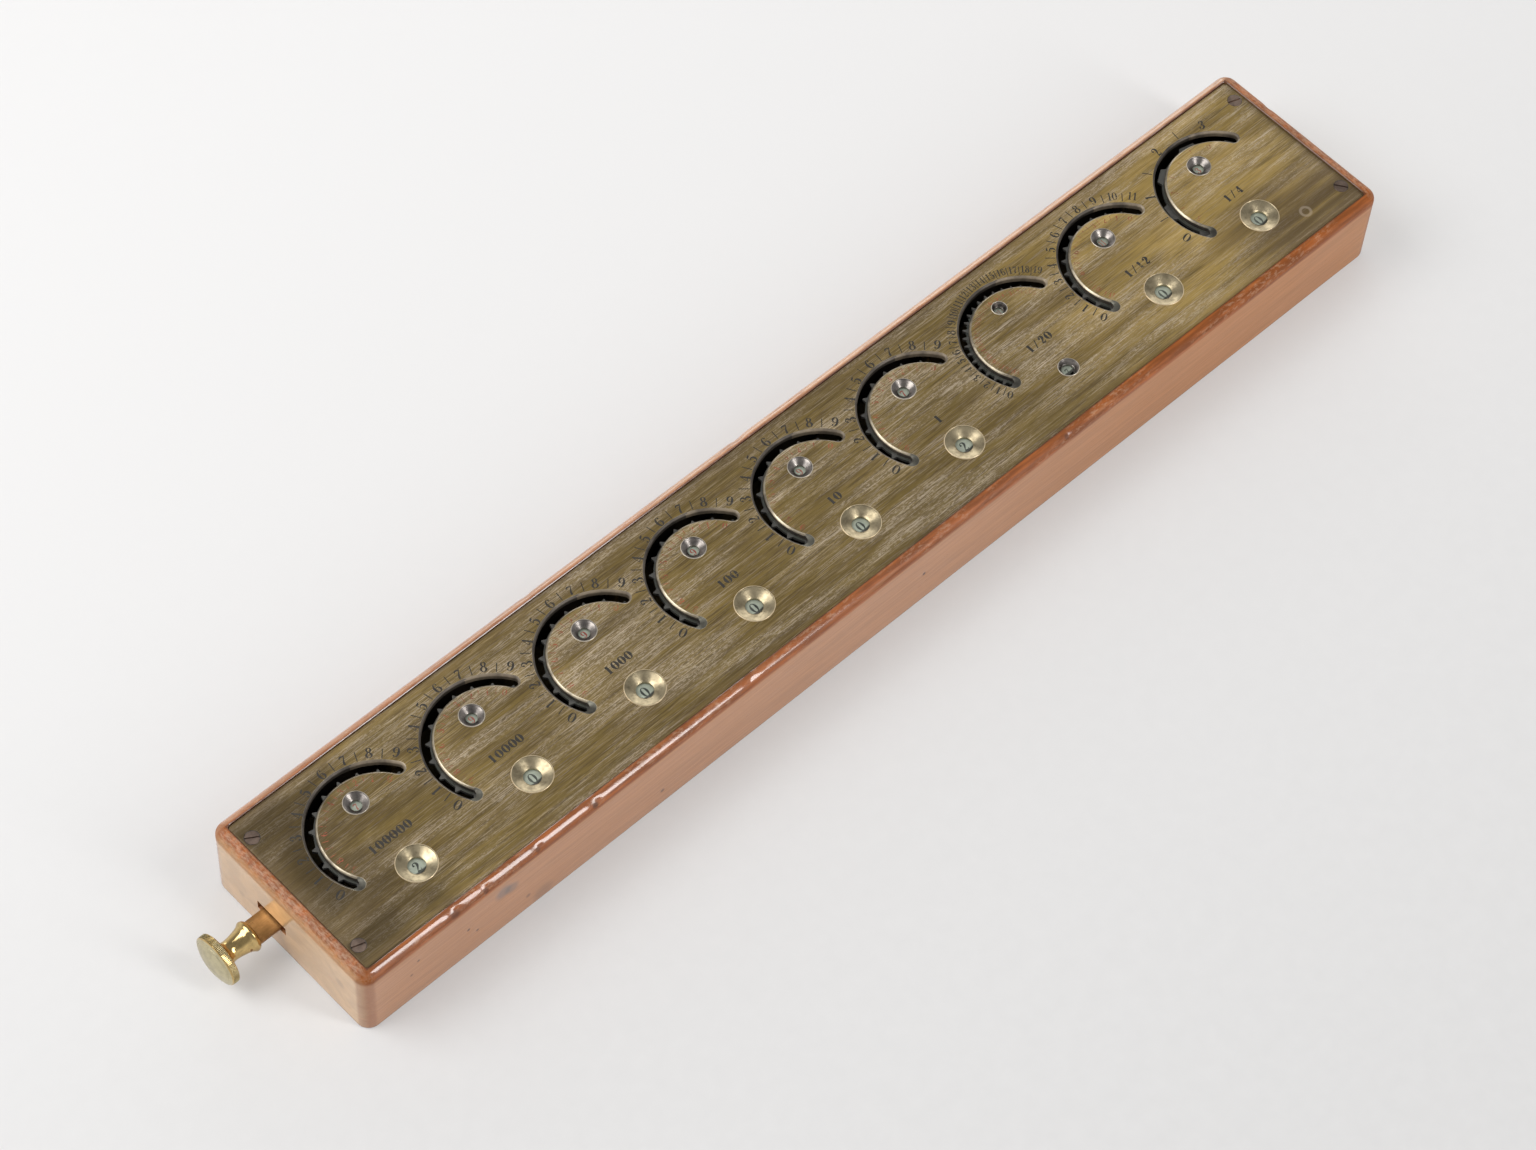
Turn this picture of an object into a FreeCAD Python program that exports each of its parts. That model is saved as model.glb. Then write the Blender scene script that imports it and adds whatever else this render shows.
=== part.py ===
import FreeCAD, Part
import os
import re
import Sketcher
from FreeCAD import Vector

# A stylus-operated adding machine for pounds, shillings and pence: a long wooden case, a brass
# face plate with nine dials, and a pull bar with a turned knob that sets the dials to nought.
# Frame: origin at the middle of the underside, +X along the case towards the farthings dial,
# +Y to the back, +Z up. Millimetres.

doc = FreeCAD.newDocument("adding_machine")

DIMENSIONS = {
    # wooden case
    "case_width": 65.4,
    "case_height": 28.8,
    "case_corner_radius": 4.2,
    "case_rim_radius": 2.9,
    "case_foot_radius": 0.6,
    "case_side_wall": 6.7,
    "case_end_wall": 10.5,
    "case_floor": 3.0,
    "cavity_corner_radius": 4.0,
    # brass face plate, let into the top of the case
    "rim_end_width": 4.0,
    "rim_side_width": 3.3,
    "plate_thickness": 2.0,
    "plate_corner_radius": 1.0,
    "plate_clearance": 0.15,
    "rim_stand": 0.4,
    # dials
    "left_end_distance": 35.2,
    "right_end_distance": 34.2,
    "wheel_side_gap": 3.6,
    "dial_centre_y": 2.2,
    "slot_radius": 19.0,
    "slot_width": 3.0,
    "slot_chamfer": 0.6,
    "slot_start_angle": 33.0,
    "slot_end_angle": 212.5,
    "window_inset": 3.25,
    "window_rim_radius": 6.05,
    "window_hole_radius": 2.65,
    "complement_inset": 9.6,
    "complement_rim_radius": 3.8,
    "complement_hole_radius": 1.75,
    "shillings_window_inset": 2.2,
    "shillings_window_rim_radius": 3.3,
    "shillings_window_hole_radius": 2.0,
    "shillings_complement_inset": 7.3,
    "shillings_complement_rim_radius": 2.5,
    "shillings_complement_hole_radius": 1.4,
    # corner screws
    "screw_end_distance": 3.0,
    "screw_side_distance": 7.0,
    "screw_head_radius": 2.2,
    "screw_head_depth": 1.0,
    "screw_radius": 1.25,
    "screw_length": 13.0,
    "screw_clearance": 0.05,
    "screw_hole_spare": 0.5,
    "screw_slot_width": 0.5,
    "screw_slot_depth": 0.45,
    # number wheels
    "wheel_gap": 0.3,
    "wheel_thickness": 1.0,
    "tooth_past_slot": 0.3,
    "tooth_height": 1.4,
    "tooth_root_depth": 0.6,
    "decimal_teeth": 20.0,
    "decimal_tooth_base": 2.4,
    "decimal_tooth_tip": 0.3,
    "shillings_teeth": 40.0,
    "shillings_tooth_base": 1.5,
    "shillings_tooth_tip": 0.3,
    "pence_teeth": 24.0,
    "pence_tooth_base": 2.2,
    "pence_tooth_tip": 0.3,
    "farthings_teeth": 8.0,
    "farthings_tooth_base": 6.6,
    "farthings_tooth_tip": 5.0,
    # hub, carry cam and zeroing pins under each number wheel
    "hub_radius": 3.4,
    "hub_spigot_radius": 3.0,
    "hub_length": 5.1,
    "cam_gap": 0.5,
    "cam_thickness": 1.8,
    "cam_mean_radius": 8.7,
    "cam_offset": 1.8,
    "cam_rest_angle": 9.0,
    "pin_disc_radius": 6.4,
    "pin_disc_thickness": 1.0,
    "pin_circle_radius": 5.0,
    "pin_radius": 0.8,
    "pin_length": 5.5,
    "pin_rest_angle": 165.0,
    # arbors, hung from the face plate
    "arbor_radius": 1.5,
    "arbor_running_clearance": 0.05,
    "arbor_spigot_radius": 1.0,
    "arbor_spigot_length": 1.2,
    "arbor_end_play": 0.2,
    "arbor_thread_radius": 1.1,
    "nut_radius": 2.6,
    "nut_thickness": 1.1,
    "arbor_thread_tail": 0.4,
    # carry levers, one from each dial to the next dial on its left
    "follower_gap": 0.3,
    "lever_nose_radius": 1.2,
    "lever_nose_offset": 1.8,
    "lever_gap": 0.7,
    "lever_thickness": 1.4,
    "lever_width": 2.4,
    "lever_hub_radius": 2.6,
    "pawl_pin_x": 8.6,
    "pawl_pin_radius": 0.5,
    "pawl_pin_gap": 0.75,
    "pawl_pin_drop": 0.2,
    # studs of the levers and jumpers
    "stud_radius": 1.2,
    "stud_running_clearance": 0.05,
    "stud_collar_radius": 2.0,
    "stud_head_radius": 1.9,
    "stud_head_thickness": 0.8,
    "stud_play": 0.1,
    # jumpers, which hold each number wheel tooth by tooth
    "jumper_bearing": -50.0,
    "farthings_jumper_bearing": -80.0,
    "jumper_arm_gap": 0.9,
    "jumper_length": 8.6,
    "jumper_width": 2.0,
    "jumper_hub_radius": 2.0,
    "jumper_nose_radius": 0.6,
    "jumper_tip_clearance": 0.3,
    "spring_gap": 0.3,
    "spring_thickness": 0.4,
    "spring_height": 0.7,
    "spring_rivet_radius": 1.0,
    "jumper_spring_length": 7.5,
    "jumper_spring_foot": 6.0,
    "lever_spring_length": 11.5,
    "lever_spring_foot": 3.5,
    # lower frame plate on pillars
    "frame_thickness": 1.6,
    "frame_end_clearance": 4.0,
    "frame_side_clearance": 0.8,
    "frame_corner_radius": 2.0,
    "frame_clearance": 0.1,
    "pillar_radius": 2.0,
    "pillar_edge_distance": 2.2,
    "pillar_spigot_radius": 1.2,
    "pillar_screw_radius": 0.9,
    "pillar_screw_length": 6.0,
    "pillar_screw_head_radius": 1.8,
    "pillar_screw_head_thickness": 1.1,
    # pull bar, its guide slot in the case, and its zeroing lugs
    "bar_width": 8.0,
    "bar_thickness": 1.2,
    "bar_centre_y": 7.2,
    "pin_bar_gap": 2.5,
    "bar_tail": 3.0,
    "bar_slot_width": 12.0,
    "bar_slot_height": 3.8,
    "bar_slot_drop": 0.5,
    "bar_slot_shift": 0.2,
    "lug_distance": 6.2,
    "lug_thickness": 1.5,
    "lug_low_y": -0.2,
    "lug_length": 8.2,
    "lug_height": 5.0,
    "keeper_length": 5.0,
    "keeper_side_gap": 0.2,
    "keeper_foot_width": 1.6,
    "keeper_top_gap": 0.1,
    "keeper_thickness": 0.8,
    # turned knob
    "knob_stand": 7.0,
    "knob_collar_radius": 4.9,
    "knob_neck_radius": 3.2,
    "knob_neck_length": 10.6,
    "knob_radius": 8.1,
    "knob_band": 2.2,
    "knob_dome": 2.0,
    "knob_grip_depth": 3.5,
    "knob_pin_radius": 0.6,
    "knob_pin_length": 7.0,
    # how far a cutter runs past what it cuts
    "cutter_overrun": 1.0,
}

# Sizes that follow from the ones above, also cells of the sheet.
FOLLOWING = {
    "wheel_tip_radius": "slot_radius + tooth_past_slot",
    "wheel_root_radius": "wheel_tip_radius - tooth_height",
    "window_distance": "wheel_tip_radius - window_inset",
    "complement_distance": "wheel_tip_radius - complement_inset",
    "shillings_window_distance": "wheel_tip_radius - shillings_window_inset",
    "shillings_complement_distance": "wheel_tip_radius - shillings_complement_inset",
    "dial_pitch": "2 * wheel_tip_radius + wheel_side_gap",
    "case_length": "left_end_distance + 8 * dial_pitch + right_end_distance",
    "first_dial_x": "left_end_distance - case_length / 2",
    "plate_length": "case_length - 2 * rim_end_width",
    "plate_width": "case_width - 2 * rim_side_width",
    "lever_stud_y": "sqrt((wheel_tip_radius + pawl_pin_gap + pawl_pin_radius)^2 - pawl_pin_x^2)",
    "jumper_stud_reach": "wheel_tip_radius + jumper_arm_gap + jumper_width / 2",
    "frame_length": "case_length - 2 * case_end_wall - 2 * frame_end_clearance",
    "frame_width": "case_width - 2 * case_side_wall - 2 * frame_side_clearance",
    "pillar_side_distance": "frame_width / 2 - pillar_edge_distance",
    "plate_top_z": "case_height - rim_stand",
    "plate_underside_z": "plate_top_z - plate_thickness",
    "wheel_top_z": "plate_underside_z - wheel_gap",
    "wheel_underside_z": "wheel_top_z - wheel_thickness",
    "hub_underside_z": "wheel_underside_z - hub_length",
    "bar_underside_z": "hub_underside_z - pin_length - pin_bar_gap - bar_thickness",
    "bar_reach_right": "first_dial_x + 8 * dial_pitch + lug_distance + lug_thickness + bar_tail",
}

# Dials from left to right: name, kind of number wheel, kind of windows.
DIALS = [
    ("hundred_thousands", "decimal", ""),
    ("ten_thousands", "decimal", ""),
    ("thousands", "decimal", ""),
    ("hundreds", "decimal", ""),
    ("tens", "decimal", ""),
    ("units", "decimal", ""),
    ("shillings", "shillings", "shillings_"),
    ("pence", "pence", ""),
    ("farthings", "farthings", ""),
]
PILLAR_GAPS = (0, 2, 5, 7)  # a pair of pillars stands in each of these gaps between dials
KEEPER_GAPS = (1, 3, 4, 6)  # a keeper holds the pull bar down in each of these gaps

CELL_NAMES = {alias: f"sheet.{alias}" for alias in (*DIMENSIONS, *FOLLOWING)}

sheet = doc.addObject("Spreadsheet::Sheet", "sheet")
sheet.Label = "driving dimensions"
contents = {**DIMENSIONS, **{alias: f"={formula}" for alias, formula in FOLLOWING.items()}}
for row, (alias, content) in enumerate(contents.items(), start=1):
    sheet.set(f"A{row}", alias)
    sheet.setAlias(f"B{row}", alias)
    sheet.set(f"B{row}", str(content))
doc.recompute()


# ---------------------------------------------------------------- formulas for heights and places


def cells(formula):
    """Write each name of a driving dimension in a formula as a cell of the sheet."""
    return re.sub(r"[a-z_]+", lambda word: CELL_NAMES.get(word[0], word[0]), formula)


PLATE_TOP = "plate_top_z"
PLATE_UNDERSIDE = "plate_underside_z"
WHEEL_TOP = "wheel_top_z"
WHEEL_UNDERSIDE = "wheel_underside_z"
HUB_UNDERSIDE = "hub_underside_z"
CAM_TOP = f"({WHEEL_UNDERSIDE} - cam_gap)"
LEVER_TOP = f"({WHEEL_UNDERSIDE} - lever_gap)"
LEVER_UNDERSIDE = f"({LEVER_TOP} - lever_thickness)"
ARBOR_SHOULDER = f"({HUB_UNDERSIDE} - arbor_end_play)"
BAR_TOP = "(bar_underside_z + bar_thickness)"
BAR_FRONT = "(bar_centre_y - bar_width / 2)"
FRAME_TOP = "(bar_underside_z - frame_clearance)"
LEFT_END = "(-1 * case_length / 2)"
KNOB_FACE = f"({LEFT_END} - knob_stand)"
KNOB_CENTRE_Z = "(bar_underside_z + bar_thickness / 2)"
JUMPER_NOSE = "(wheel_tip_radius + jumper_tip_clearance + jumper_nose_radius)"


def dial_x(index):
    return f"(first_dial_x + {index} * dial_pitch)"


def gap_x(index):
    """The middle of the gap between a dial and the next one on its right."""
    return f"(first_dial_x + {index + 0.5} * dial_pitch)"


def tooth_step(kind):
    return f"(360 / {kind}_teeth)"


def nought_gap(kind):
    """The bearing of the tooth gap in which the stylus stands at nought, half a step before the stop."""
    return f"(slot_end_angle - {tooth_step(kind)} / 2)"


def jumper_turn(kind):
    """The bearing of the tooth gap that lies nearest to the place of the jumper."""
    wanted = "farthings_jumper_bearing" if kind == "farthings" else "jumper_bearing"
    steps = f"round(({nought_gap(kind)} - {wanted}) / {tooth_step(kind)})"
    return f"({nought_gap(kind)} - {steps} * {tooth_step(kind)})"


# ---------------------------------------------------------------- helpers

NODES = []


def bind(thing, **sizes):
    for name, formula in sizes.items():
        thing.setExpression(name, cells(formula))


def place(thing, x="0", y="0", z="0", turn="0", axis=(0, 0, 1)):
    axis_text = "; ".join(str(part) for part in axis)
    spot = f"vector({cells(x)}; {cells(y)}; {cells(z)})"
    thing.setExpression("Placement", f"placement({spot}; rotation(vector({axis_text}); {cells(turn)}))")
    return thing


def named(thing, label):
    """Make an object a node of the part, which is written to a file of its own."""
    thing.Label = label
    NODES.append(thing)
    return thing


def cylinder(radius, height, x="0", y="0", z="0", sweep="360", turn="0", axis=(0, 0, 1)):
    solid = doc.addObject("Part::Cylinder", "cylinder")
    bind(solid, Radius=radius, Height=height, Angle=sweep)
    return place(solid, x, y, z, turn, axis)


def cone(low_radius, high_radius, height, x="0", y="0", z="0", sweep="360", turn="0"):
    solid = doc.addObject("Part::Cone", "cone")
    bind(solid, Radius1=low_radius, Radius2=high_radius, Height=height, Angle=sweep)
    return place(solid, x, y, z, turn)


def box(length, width, height, x="0", y="0", z="0"):
    solid = doc.addObject("Part::Box", "box")
    bind(solid, Length=length, Width=width, Height=height)
    return place(solid, x, y, z)


def fuse(pieces, name="fused"):
    joined = doc.addObject("Part::MultiFuse", name)
    joined.Shapes = list(pieces)
    return joined


def cut(base, tools, name="cut"):
    """Cut one tool, or a list of tools taken together, out of a base."""
    result = doc.addObject("Part::Cut", name)
    result.Base = base
    result.Tool = tools[0] if len(tools) == 1 else fuse(tools, "tools")
    return result


def group(pieces, name="group"):
    """Separate solids of one kind, kept together as one node."""
    several = doc.addObject("Part::Compound", name)
    several.Links = list(pieces)
    return several


def body(label):
    return doc.addObject("PartDesign::Body", label)


def sketch(owner, name, role="XY_Plane", offset="0"):
    plane = next(f for f in owner.Origin.OriginFeatures if f.Role == role)
    drawn = owner.newObject("Sketcher::SketchObject", name)
    drawn.AttachmentSupport = (plane, [""])
    drawn.MapMode = "FlatFace"
    drawn.setExpression("AttachmentOffset.Base.z", cells(offset))
    return drawn


def draw_polygon(drawn, corners):
    """Draw a closed outline whose corners are pairs of formulas."""
    count = len(corners)
    start = drawn.GeometryCount
    rough = [Vector(*(value_of(c) for c in corner), 0) for corner in corners]
    for index in range(count):
        drawn.addGeometry(Part.LineSegment(rough[index], rough[(index + 1) % count]), False)
    for index in range(count):
        after = start + (index + 1) % count
        drawn.addConstraint(Sketcher.Constraint("Coincident", start + index, 2, after, 1))
    for index, (x, y) in enumerate(corners):
        for kind, formula, value in (("DistanceX", x, rough[index].x), ("DistanceY", y, rough[index].y)):
            number = drawn.addConstraint(Sketcher.Constraint(kind, -1, 1, start + index, 1, value))
            drawn.setExpression(f"Constraints[{number}]", cells(formula))


def value_of(formula):
    """What a formula comes to with the sheet as it stands, as a first guess for the sketch."""
    found = sheet.evalExpression(cells(formula))
    return float(getattr(found, "Value", found))


def draw_rectangle(drawn, low_x, low_y, high_x, high_y):
    draw_polygon(drawn, [(low_x, low_y), (high_x, low_y), (high_x, high_y), (low_x, high_y)])


def draw_circle(drawn, radius, x="0", y="0"):
    spot = Vector(value_of(x), value_of(y), 0)
    circle = drawn.addGeometry(Part.Circle(spot, Vector(0, 0, 1), value_of(radius)), False)
    limits = [(Sketcher.Constraint("Radius", circle, value_of(radius)), radius)]
    if (x, y) == ("0", "0"):
        drawn.addConstraint(Sketcher.Constraint("Coincident", circle, 3, -1, 1))
    else:
        limits.append((Sketcher.Constraint("DistanceX", -1, 1, circle, 3, spot.x), x))
        limits.append((Sketcher.Constraint("DistanceY", -1, 1, circle, 3, spot.y), y))
    for constraint, formula in limits:
        number = drawn.addConstraint(constraint)
        drawn.setExpression(f"Constraints[{number}]", cells(formula))


def pad(owner, profile, name, length):
    feature = owner.newObject("PartDesign::Pad", name)
    feature.Profile = profile
    bind(feature, Length=length)
    profile.Visibility = False
    return feature


def pocket(owner, profile, name, length, reverse=False):
    feature = owner.newObject("PartDesign::Pocket", name)
    feature.Profile = profile
    feature.Reversed = reverse
    bind(feature, Length=length)
    return feature


def round_edges(owner, base, name, radius, wanted):
    """Round the edges of a body's last feature whose middle and direction pass a test."""
    doc.recompute()
    picked = []
    for number, edge in enumerate(base.Shape.Edges, start=1):
        middle = edge.valueAt((edge.FirstParameter + edge.LastParameter) / 2)
        upright = abs(edge.tangentAt(edge.FirstParameter).z) > 0.99
        if wanted(middle, upright):
            picked.append(f"Edge{number}")
    feature = owner.newObject("PartDesign::Fillet", name)
    feature.Base = (base, picked)
    bind(feature, Radius=radius)
    return feature


def at_corner(x, y):
    """A test for the upright edges at the four corners of a rectangle about the origin."""
    corner_x, corner_y = value_of(x), value_of(y)

    def wanted(middle, upright):
        return upright and abs(abs(middle.x) - corner_x) + abs(abs(middle.y) - corner_y) < 0.01

    return wanted


# ---------------------------------------------------------------- wooden case


def make_case():
    case = body("case_body")
    half_length, half_width = "(case_length / 2)", "(case_width / 2)"
    outline = sketch(case, "case_outline")
    draw_rectangle(outline, f"-1 * {half_length}", f"-1 * {half_width}", half_length, half_width)
    block = pad(case, outline, "case_block", "case_height")
    corners = round_edges(case, block, "case_corners", "case_corner_radius", lambda p, upright: upright)
    top = value_of("case_height")
    rim = round_edges(case, corners, "case_rim", "case_rim_radius", lambda p, upright: abs(p.z - top) < 0.01)
    round_edges(case, rim, "case_foot", "case_foot_radius", lambda p, upright: abs(p.z) < 0.01)

    rebate_x = "(plate_length / 2 + plate_clearance)"
    rebate_y = "(plate_width / 2 + plate_clearance)"
    rebate_outline = sketch(case, "rebate_outline", offset="case_height")
    draw_rectangle(rebate_outline, f"-1 * {rebate_x}", f"-1 * {rebate_y}", rebate_x, rebate_y)
    rebate = pocket(case, rebate_outline, "rebate", "rim_stand + plate_thickness")
    round_edges(
        case, rebate, "rebate_corners", "plate_corner_radius + plate_clearance", at_corner(rebate_x, rebate_y)
    )

    cavity_x = "(case_length / 2 - case_end_wall)"
    cavity_y = "(case_width / 2 - case_side_wall)"
    cavity_outline = sketch(case, "cavity_outline", offset="case_height")
    draw_rectangle(cavity_outline, f"-1 * {cavity_x}", f"-1 * {cavity_y}", cavity_x, cavity_y)
    cavity = pocket(case, cavity_outline, "cavity", "case_height - case_floor")
    round_edges(case, cavity, "cavity_corners", "cavity_corner_radius", at_corner(cavity_x, cavity_y))

    slot_low = "(bar_underside_z - bar_slot_drop)"
    slot_front = "(bar_centre_y - bar_slot_shift - bar_slot_width / 2)"
    slot_outline = sketch(case, "bar_slot_outline", "YZ_Plane", LEFT_END)
    draw_rectangle(
        slot_outline,
        slot_front,
        slot_low,
        f"{slot_front} + bar_slot_width",
        f"{slot_low} + bar_slot_height",
    )
    pocket(case, slot_outline, "bar_slot", "case_end_wall + cutter_overrun", reverse=True)

    holes = sketch(case, "screw_hole_outlines", offset=PLATE_UNDERSIDE)
    for x, y in corner_places():
        draw_circle(holes, "screw_radius + screw_clearance", x, y)
    pocket(case, holes, "screw_holes", "screw_length - plate_thickness + screw_hole_spare")
    return named(case, "wooden_case")


def corner_places():
    x = "(plate_length / 2 - screw_end_distance)"
    y = "(plate_width / 2 - screw_side_distance)"
    return [(f"{sx} * {x}", f"{sy} * {y}") for sx in (-1, 1) for sy in (-1, 1)]


# ---------------------------------------------------------------- face plate and its screws


def slot_cutter(index):
    """The C-shaped stylus slot of one dial, with round ends and a bevelled upper edge."""
    x, y = dial_x(index), "dial_centre_y"
    sweep = "(slot_end_angle - slot_start_angle)"
    inner, outer = "(slot_radius - slot_width / 2)", "(slot_radius + slot_width / 2)"
    bevel_z = f"({PLATE_TOP} - slot_chamfer)"
    through = cut(
        cylinder(outer, "plate_thickness", x, y, PLATE_UNDERSIDE, sweep, "slot_start_angle"),
        [cylinder(inner, "plate_thickness", x, y, PLATE_UNDERSIDE)],
    )
    bevel = cut(
        cone(outer, f"{outer} + slot_chamfer", "slot_chamfer", x, y, bevel_z, sweep, "slot_start_angle"),
        [cone(inner, f"{inner} - slot_chamfer", "slot_chamfer", x, y, bevel_z)],
    )
    pieces = [through, bevel]
    for angle in ("slot_start_angle", "slot_end_angle"):
        end_x = f"({x} + slot_radius * cos({angle} * 1 deg))"
        end_y = f"({y} + slot_radius * sin({angle} * 1 deg))"
        pieces.append(cylinder("slot_width / 2", "plate_thickness", end_x, end_y, PLATE_UNDERSIDE))
        pieces.append(
            cone("slot_width / 2", "slot_width / 2 + slot_chamfer", "slot_chamfer", end_x, end_y, bevel_z)
        )
    return pieces


def window_cutters(index, windows):
    """The large result window at the front of a dial and the small complement window inside its slot."""
    places = (
        (f"dial_centre_y - {windows}window_distance", f"{windows}window"),
        (f"dial_centre_y + {windows}complement_distance", f"{windows}complement"),
    )
    return [
        cone(
            f"{kind}_hole_radius",
            f"{kind}_rim_radius",
            "plate_thickness",
            dial_x(index),
            y,
            PLATE_UNDERSIDE,
        )
        for y, kind in places
    ]


def make_face_plate():
    blank = body("face_plate_blank")
    outline = sketch(blank, "plate_outline", offset=PLATE_UNDERSIDE)
    half_length, half_width = "(plate_length / 2)", "(plate_width / 2)"
    draw_rectangle(outline, f"-1 * {half_length}", f"-1 * {half_width}", half_length, half_width)
    sheet_metal = pad(blank, outline, "plate_pad", "plate_thickness")
    round_edges(blank, sheet_metal, "plate_corners", "plate_corner_radius", lambda p, upright: upright)

    tools = []
    for index, (_, _, windows) in enumerate(DIALS):
        tools += slot_cutter(index)
        tools += window_cutters(index, windows)
        tools.append(
            cylinder(
                "arbor_spigot_radius", "arbor_spigot_length", dial_x(index), "dial_centre_y", PLATE_UNDERSIDE
            )
        )
    for x, y in pillar_places():
        tools.append(cylinder("pillar_spigot_radius", "arbor_spigot_length", x, y, PLATE_UNDERSIDE))
    for x, y in corner_places():
        hole = "(screw_radius + screw_clearance)"
        head_z = f"({PLATE_TOP} - screw_head_depth)"
        tools.append(cylinder(hole, "plate_thickness", x, y, PLATE_UNDERSIDE))
        tools.append(cone(hole, "screw_head_radius + screw_clearance", "screw_head_depth", x, y, head_z))
    return named(cut(blank, tools, "face_plate_cut"), "face_plate")


def make_corner_screws():
    screws = []
    for x, y in corner_places():
        head = cone(
            "screw_radius", "screw_head_radius", "screw_head_depth", x, y, f"{PLATE_TOP} - screw_head_depth"
        )
        shank = cylinder(
            "screw_radius",
            "screw_length - screw_head_depth",
            x,
            y,
            f"{PLATE_TOP} - screw_length",
        )
        slot = box(
            "2 * screw_head_radius",
            "screw_slot_width",
            "screw_slot_depth",
            f"{x} - screw_head_radius",
            f"{y} - screw_slot_width / 2",
            f"{PLATE_TOP} - screw_slot_depth",
        )
        screws.append(cut(fuse([head, shank]), [slot], "corner_screw"))
    return named(group(screws), "corner_screws")


# ---------------------------------------------------------------- number wheels, hubs and cams


def make_number_wheel(index, name, kind):
    wheel = body(f"{name}_wheel_body")
    disc_outline = sketch(wheel, "disc_outline", offset=WHEEL_UNDERSIDE)
    draw_circle(disc_outline, "wheel_root_radius")
    draw_circle(disc_outline, "hub_spigot_radius")
    pad(wheel, disc_outline, "disc", "wheel_thickness")

    tooth_outline = sketch(wheel, "tooth_outline", offset=WHEEL_UNDERSIDE)
    root, tip = "wheel_root_radius - tooth_root_depth", "wheel_tip_radius"
    base_half, tip_half = f"{kind}_tooth_base / 2", f"{kind}_tooth_tip / 2"
    draw_polygon(
        tooth_outline,
        [(root, f"-1 * {base_half}"), (tip, f"-1 * {tip_half}"), (tip, tip_half), (root, base_half)],
    )
    tooth = pad(wheel, tooth_outline, "tooth", "wheel_thickness")

    teeth = wheel.newObject("PartDesign::PolarPattern", "teeth")
    teeth.Originals = [tooth]
    axis = next(f for f in wheel.Origin.OriginFeatures if f.Role == "Z_Axis")
    teeth.Axis = (axis, [""])
    teeth.Angle = 360
    teeth.setExpression("Occurrences", cells(f"{kind}_teeth"))
    wheel.Tip = teeth
    place(wheel, dial_x(index), "dial_centre_y", turn=f"{nought_gap(kind)} - {tooth_step(kind)} / 2")
    return named(wheel, f"{name}_number_wheel")


def make_cam_hub(index, name):
    """Hub with its zeroing pins and, on every dial that carries, the two-step carry cam."""
    x, y = dial_x(index), "dial_centre_y"
    pieces = [
        cylinder("hub_radius", "hub_length", x, y, HUB_UNDERSIDE),
        cylinder("hub_spigot_radius", "wheel_thickness", x, y, WHEEL_UNDERSIDE),
        cylinder("pin_disc_radius", "pin_disc_thickness", x, y, HUB_UNDERSIDE),
    ]
    for side in (-1, 1):
        pin_x = f"{x} + {side} * pin_circle_radius * cos(pin_rest_angle * 1 deg)"
        pin_y = f"{y} + {side} * pin_circle_radius * sin(pin_rest_angle * 1 deg)"
        pieces.append(cylinder("pin_radius", "pin_length", pin_x, pin_y, f"{HUB_UNDERSIDE} - pin_length"))
        if index > 0:
            cam_z = f"({CAM_TOP} - cam_thickness)"
            centre = f"{x} + {side} * cam_offset * cos(cam_rest_angle * 1 deg)"
            across = f"{y} + {side} * cam_offset * sin(cam_rest_angle * 1 deg)"
            start = f"cam_rest_angle + {0 if side > 0 else 180}"
            pieces.append(
                cylinder("cam_mean_radius", "cam_thickness", centre, across, cam_z, "180", start)
            )
    bore = cylinder(
        "arbor_radius + arbor_running_clearance",
        "hub_length + wheel_thickness",
        x,
        y,
        HUB_UNDERSIDE,
    )
    kind = "carry_cam" if index > 0 else "hub"
    return named(cut(fuse(pieces), [bore], f"{name}_cam_cut"), f"{name}_{kind}")


def make_arbors():
    arbors, nuts = [], []
    for index in range(len(DIALS)):
        x, y = dial_x(index), "dial_centre_y"
        tail = "(nut_thickness + arbor_thread_tail)"
        arbors.append(
            fuse(
                [
                    cylinder("arbor_radius", f"{PLATE_UNDERSIDE} - {ARBOR_SHOULDER}", x, y, ARBOR_SHOULDER),
                    cylinder("arbor_spigot_radius", "arbor_spigot_length", x, y, PLATE_UNDERSIDE),
                    cylinder("arbor_thread_radius", tail, x, y, f"{ARBOR_SHOULDER} - {tail}"),
                ],
                "arbor",
            )
        )
        nut_z = f"({ARBOR_SHOULDER} - nut_thickness)"
        nut = cylinder("nut_radius", "nut_thickness", x, y, nut_z)
        nuts.append(cut(nut, [cylinder("arbor_thread_radius", "nut_thickness", x, y, nut_z)], "nut"))
    named(group(arbors), "wheel_arbors")
    named(group(nuts), "arbor_nuts")


# ---------------------------------------------------------------- carry levers


def nose_x(index):
    """The nose stands just clear of the high point of the cam, to the left of the arbor."""
    return f"({dial_x(index)} - cam_mean_radius - cam_offset - follower_gap - lever_nose_radius)"


def stud_place(index):
    return f"({nose_x(index)} - lever_nose_offset)", "(dial_centre_y - lever_stud_y)"


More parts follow.
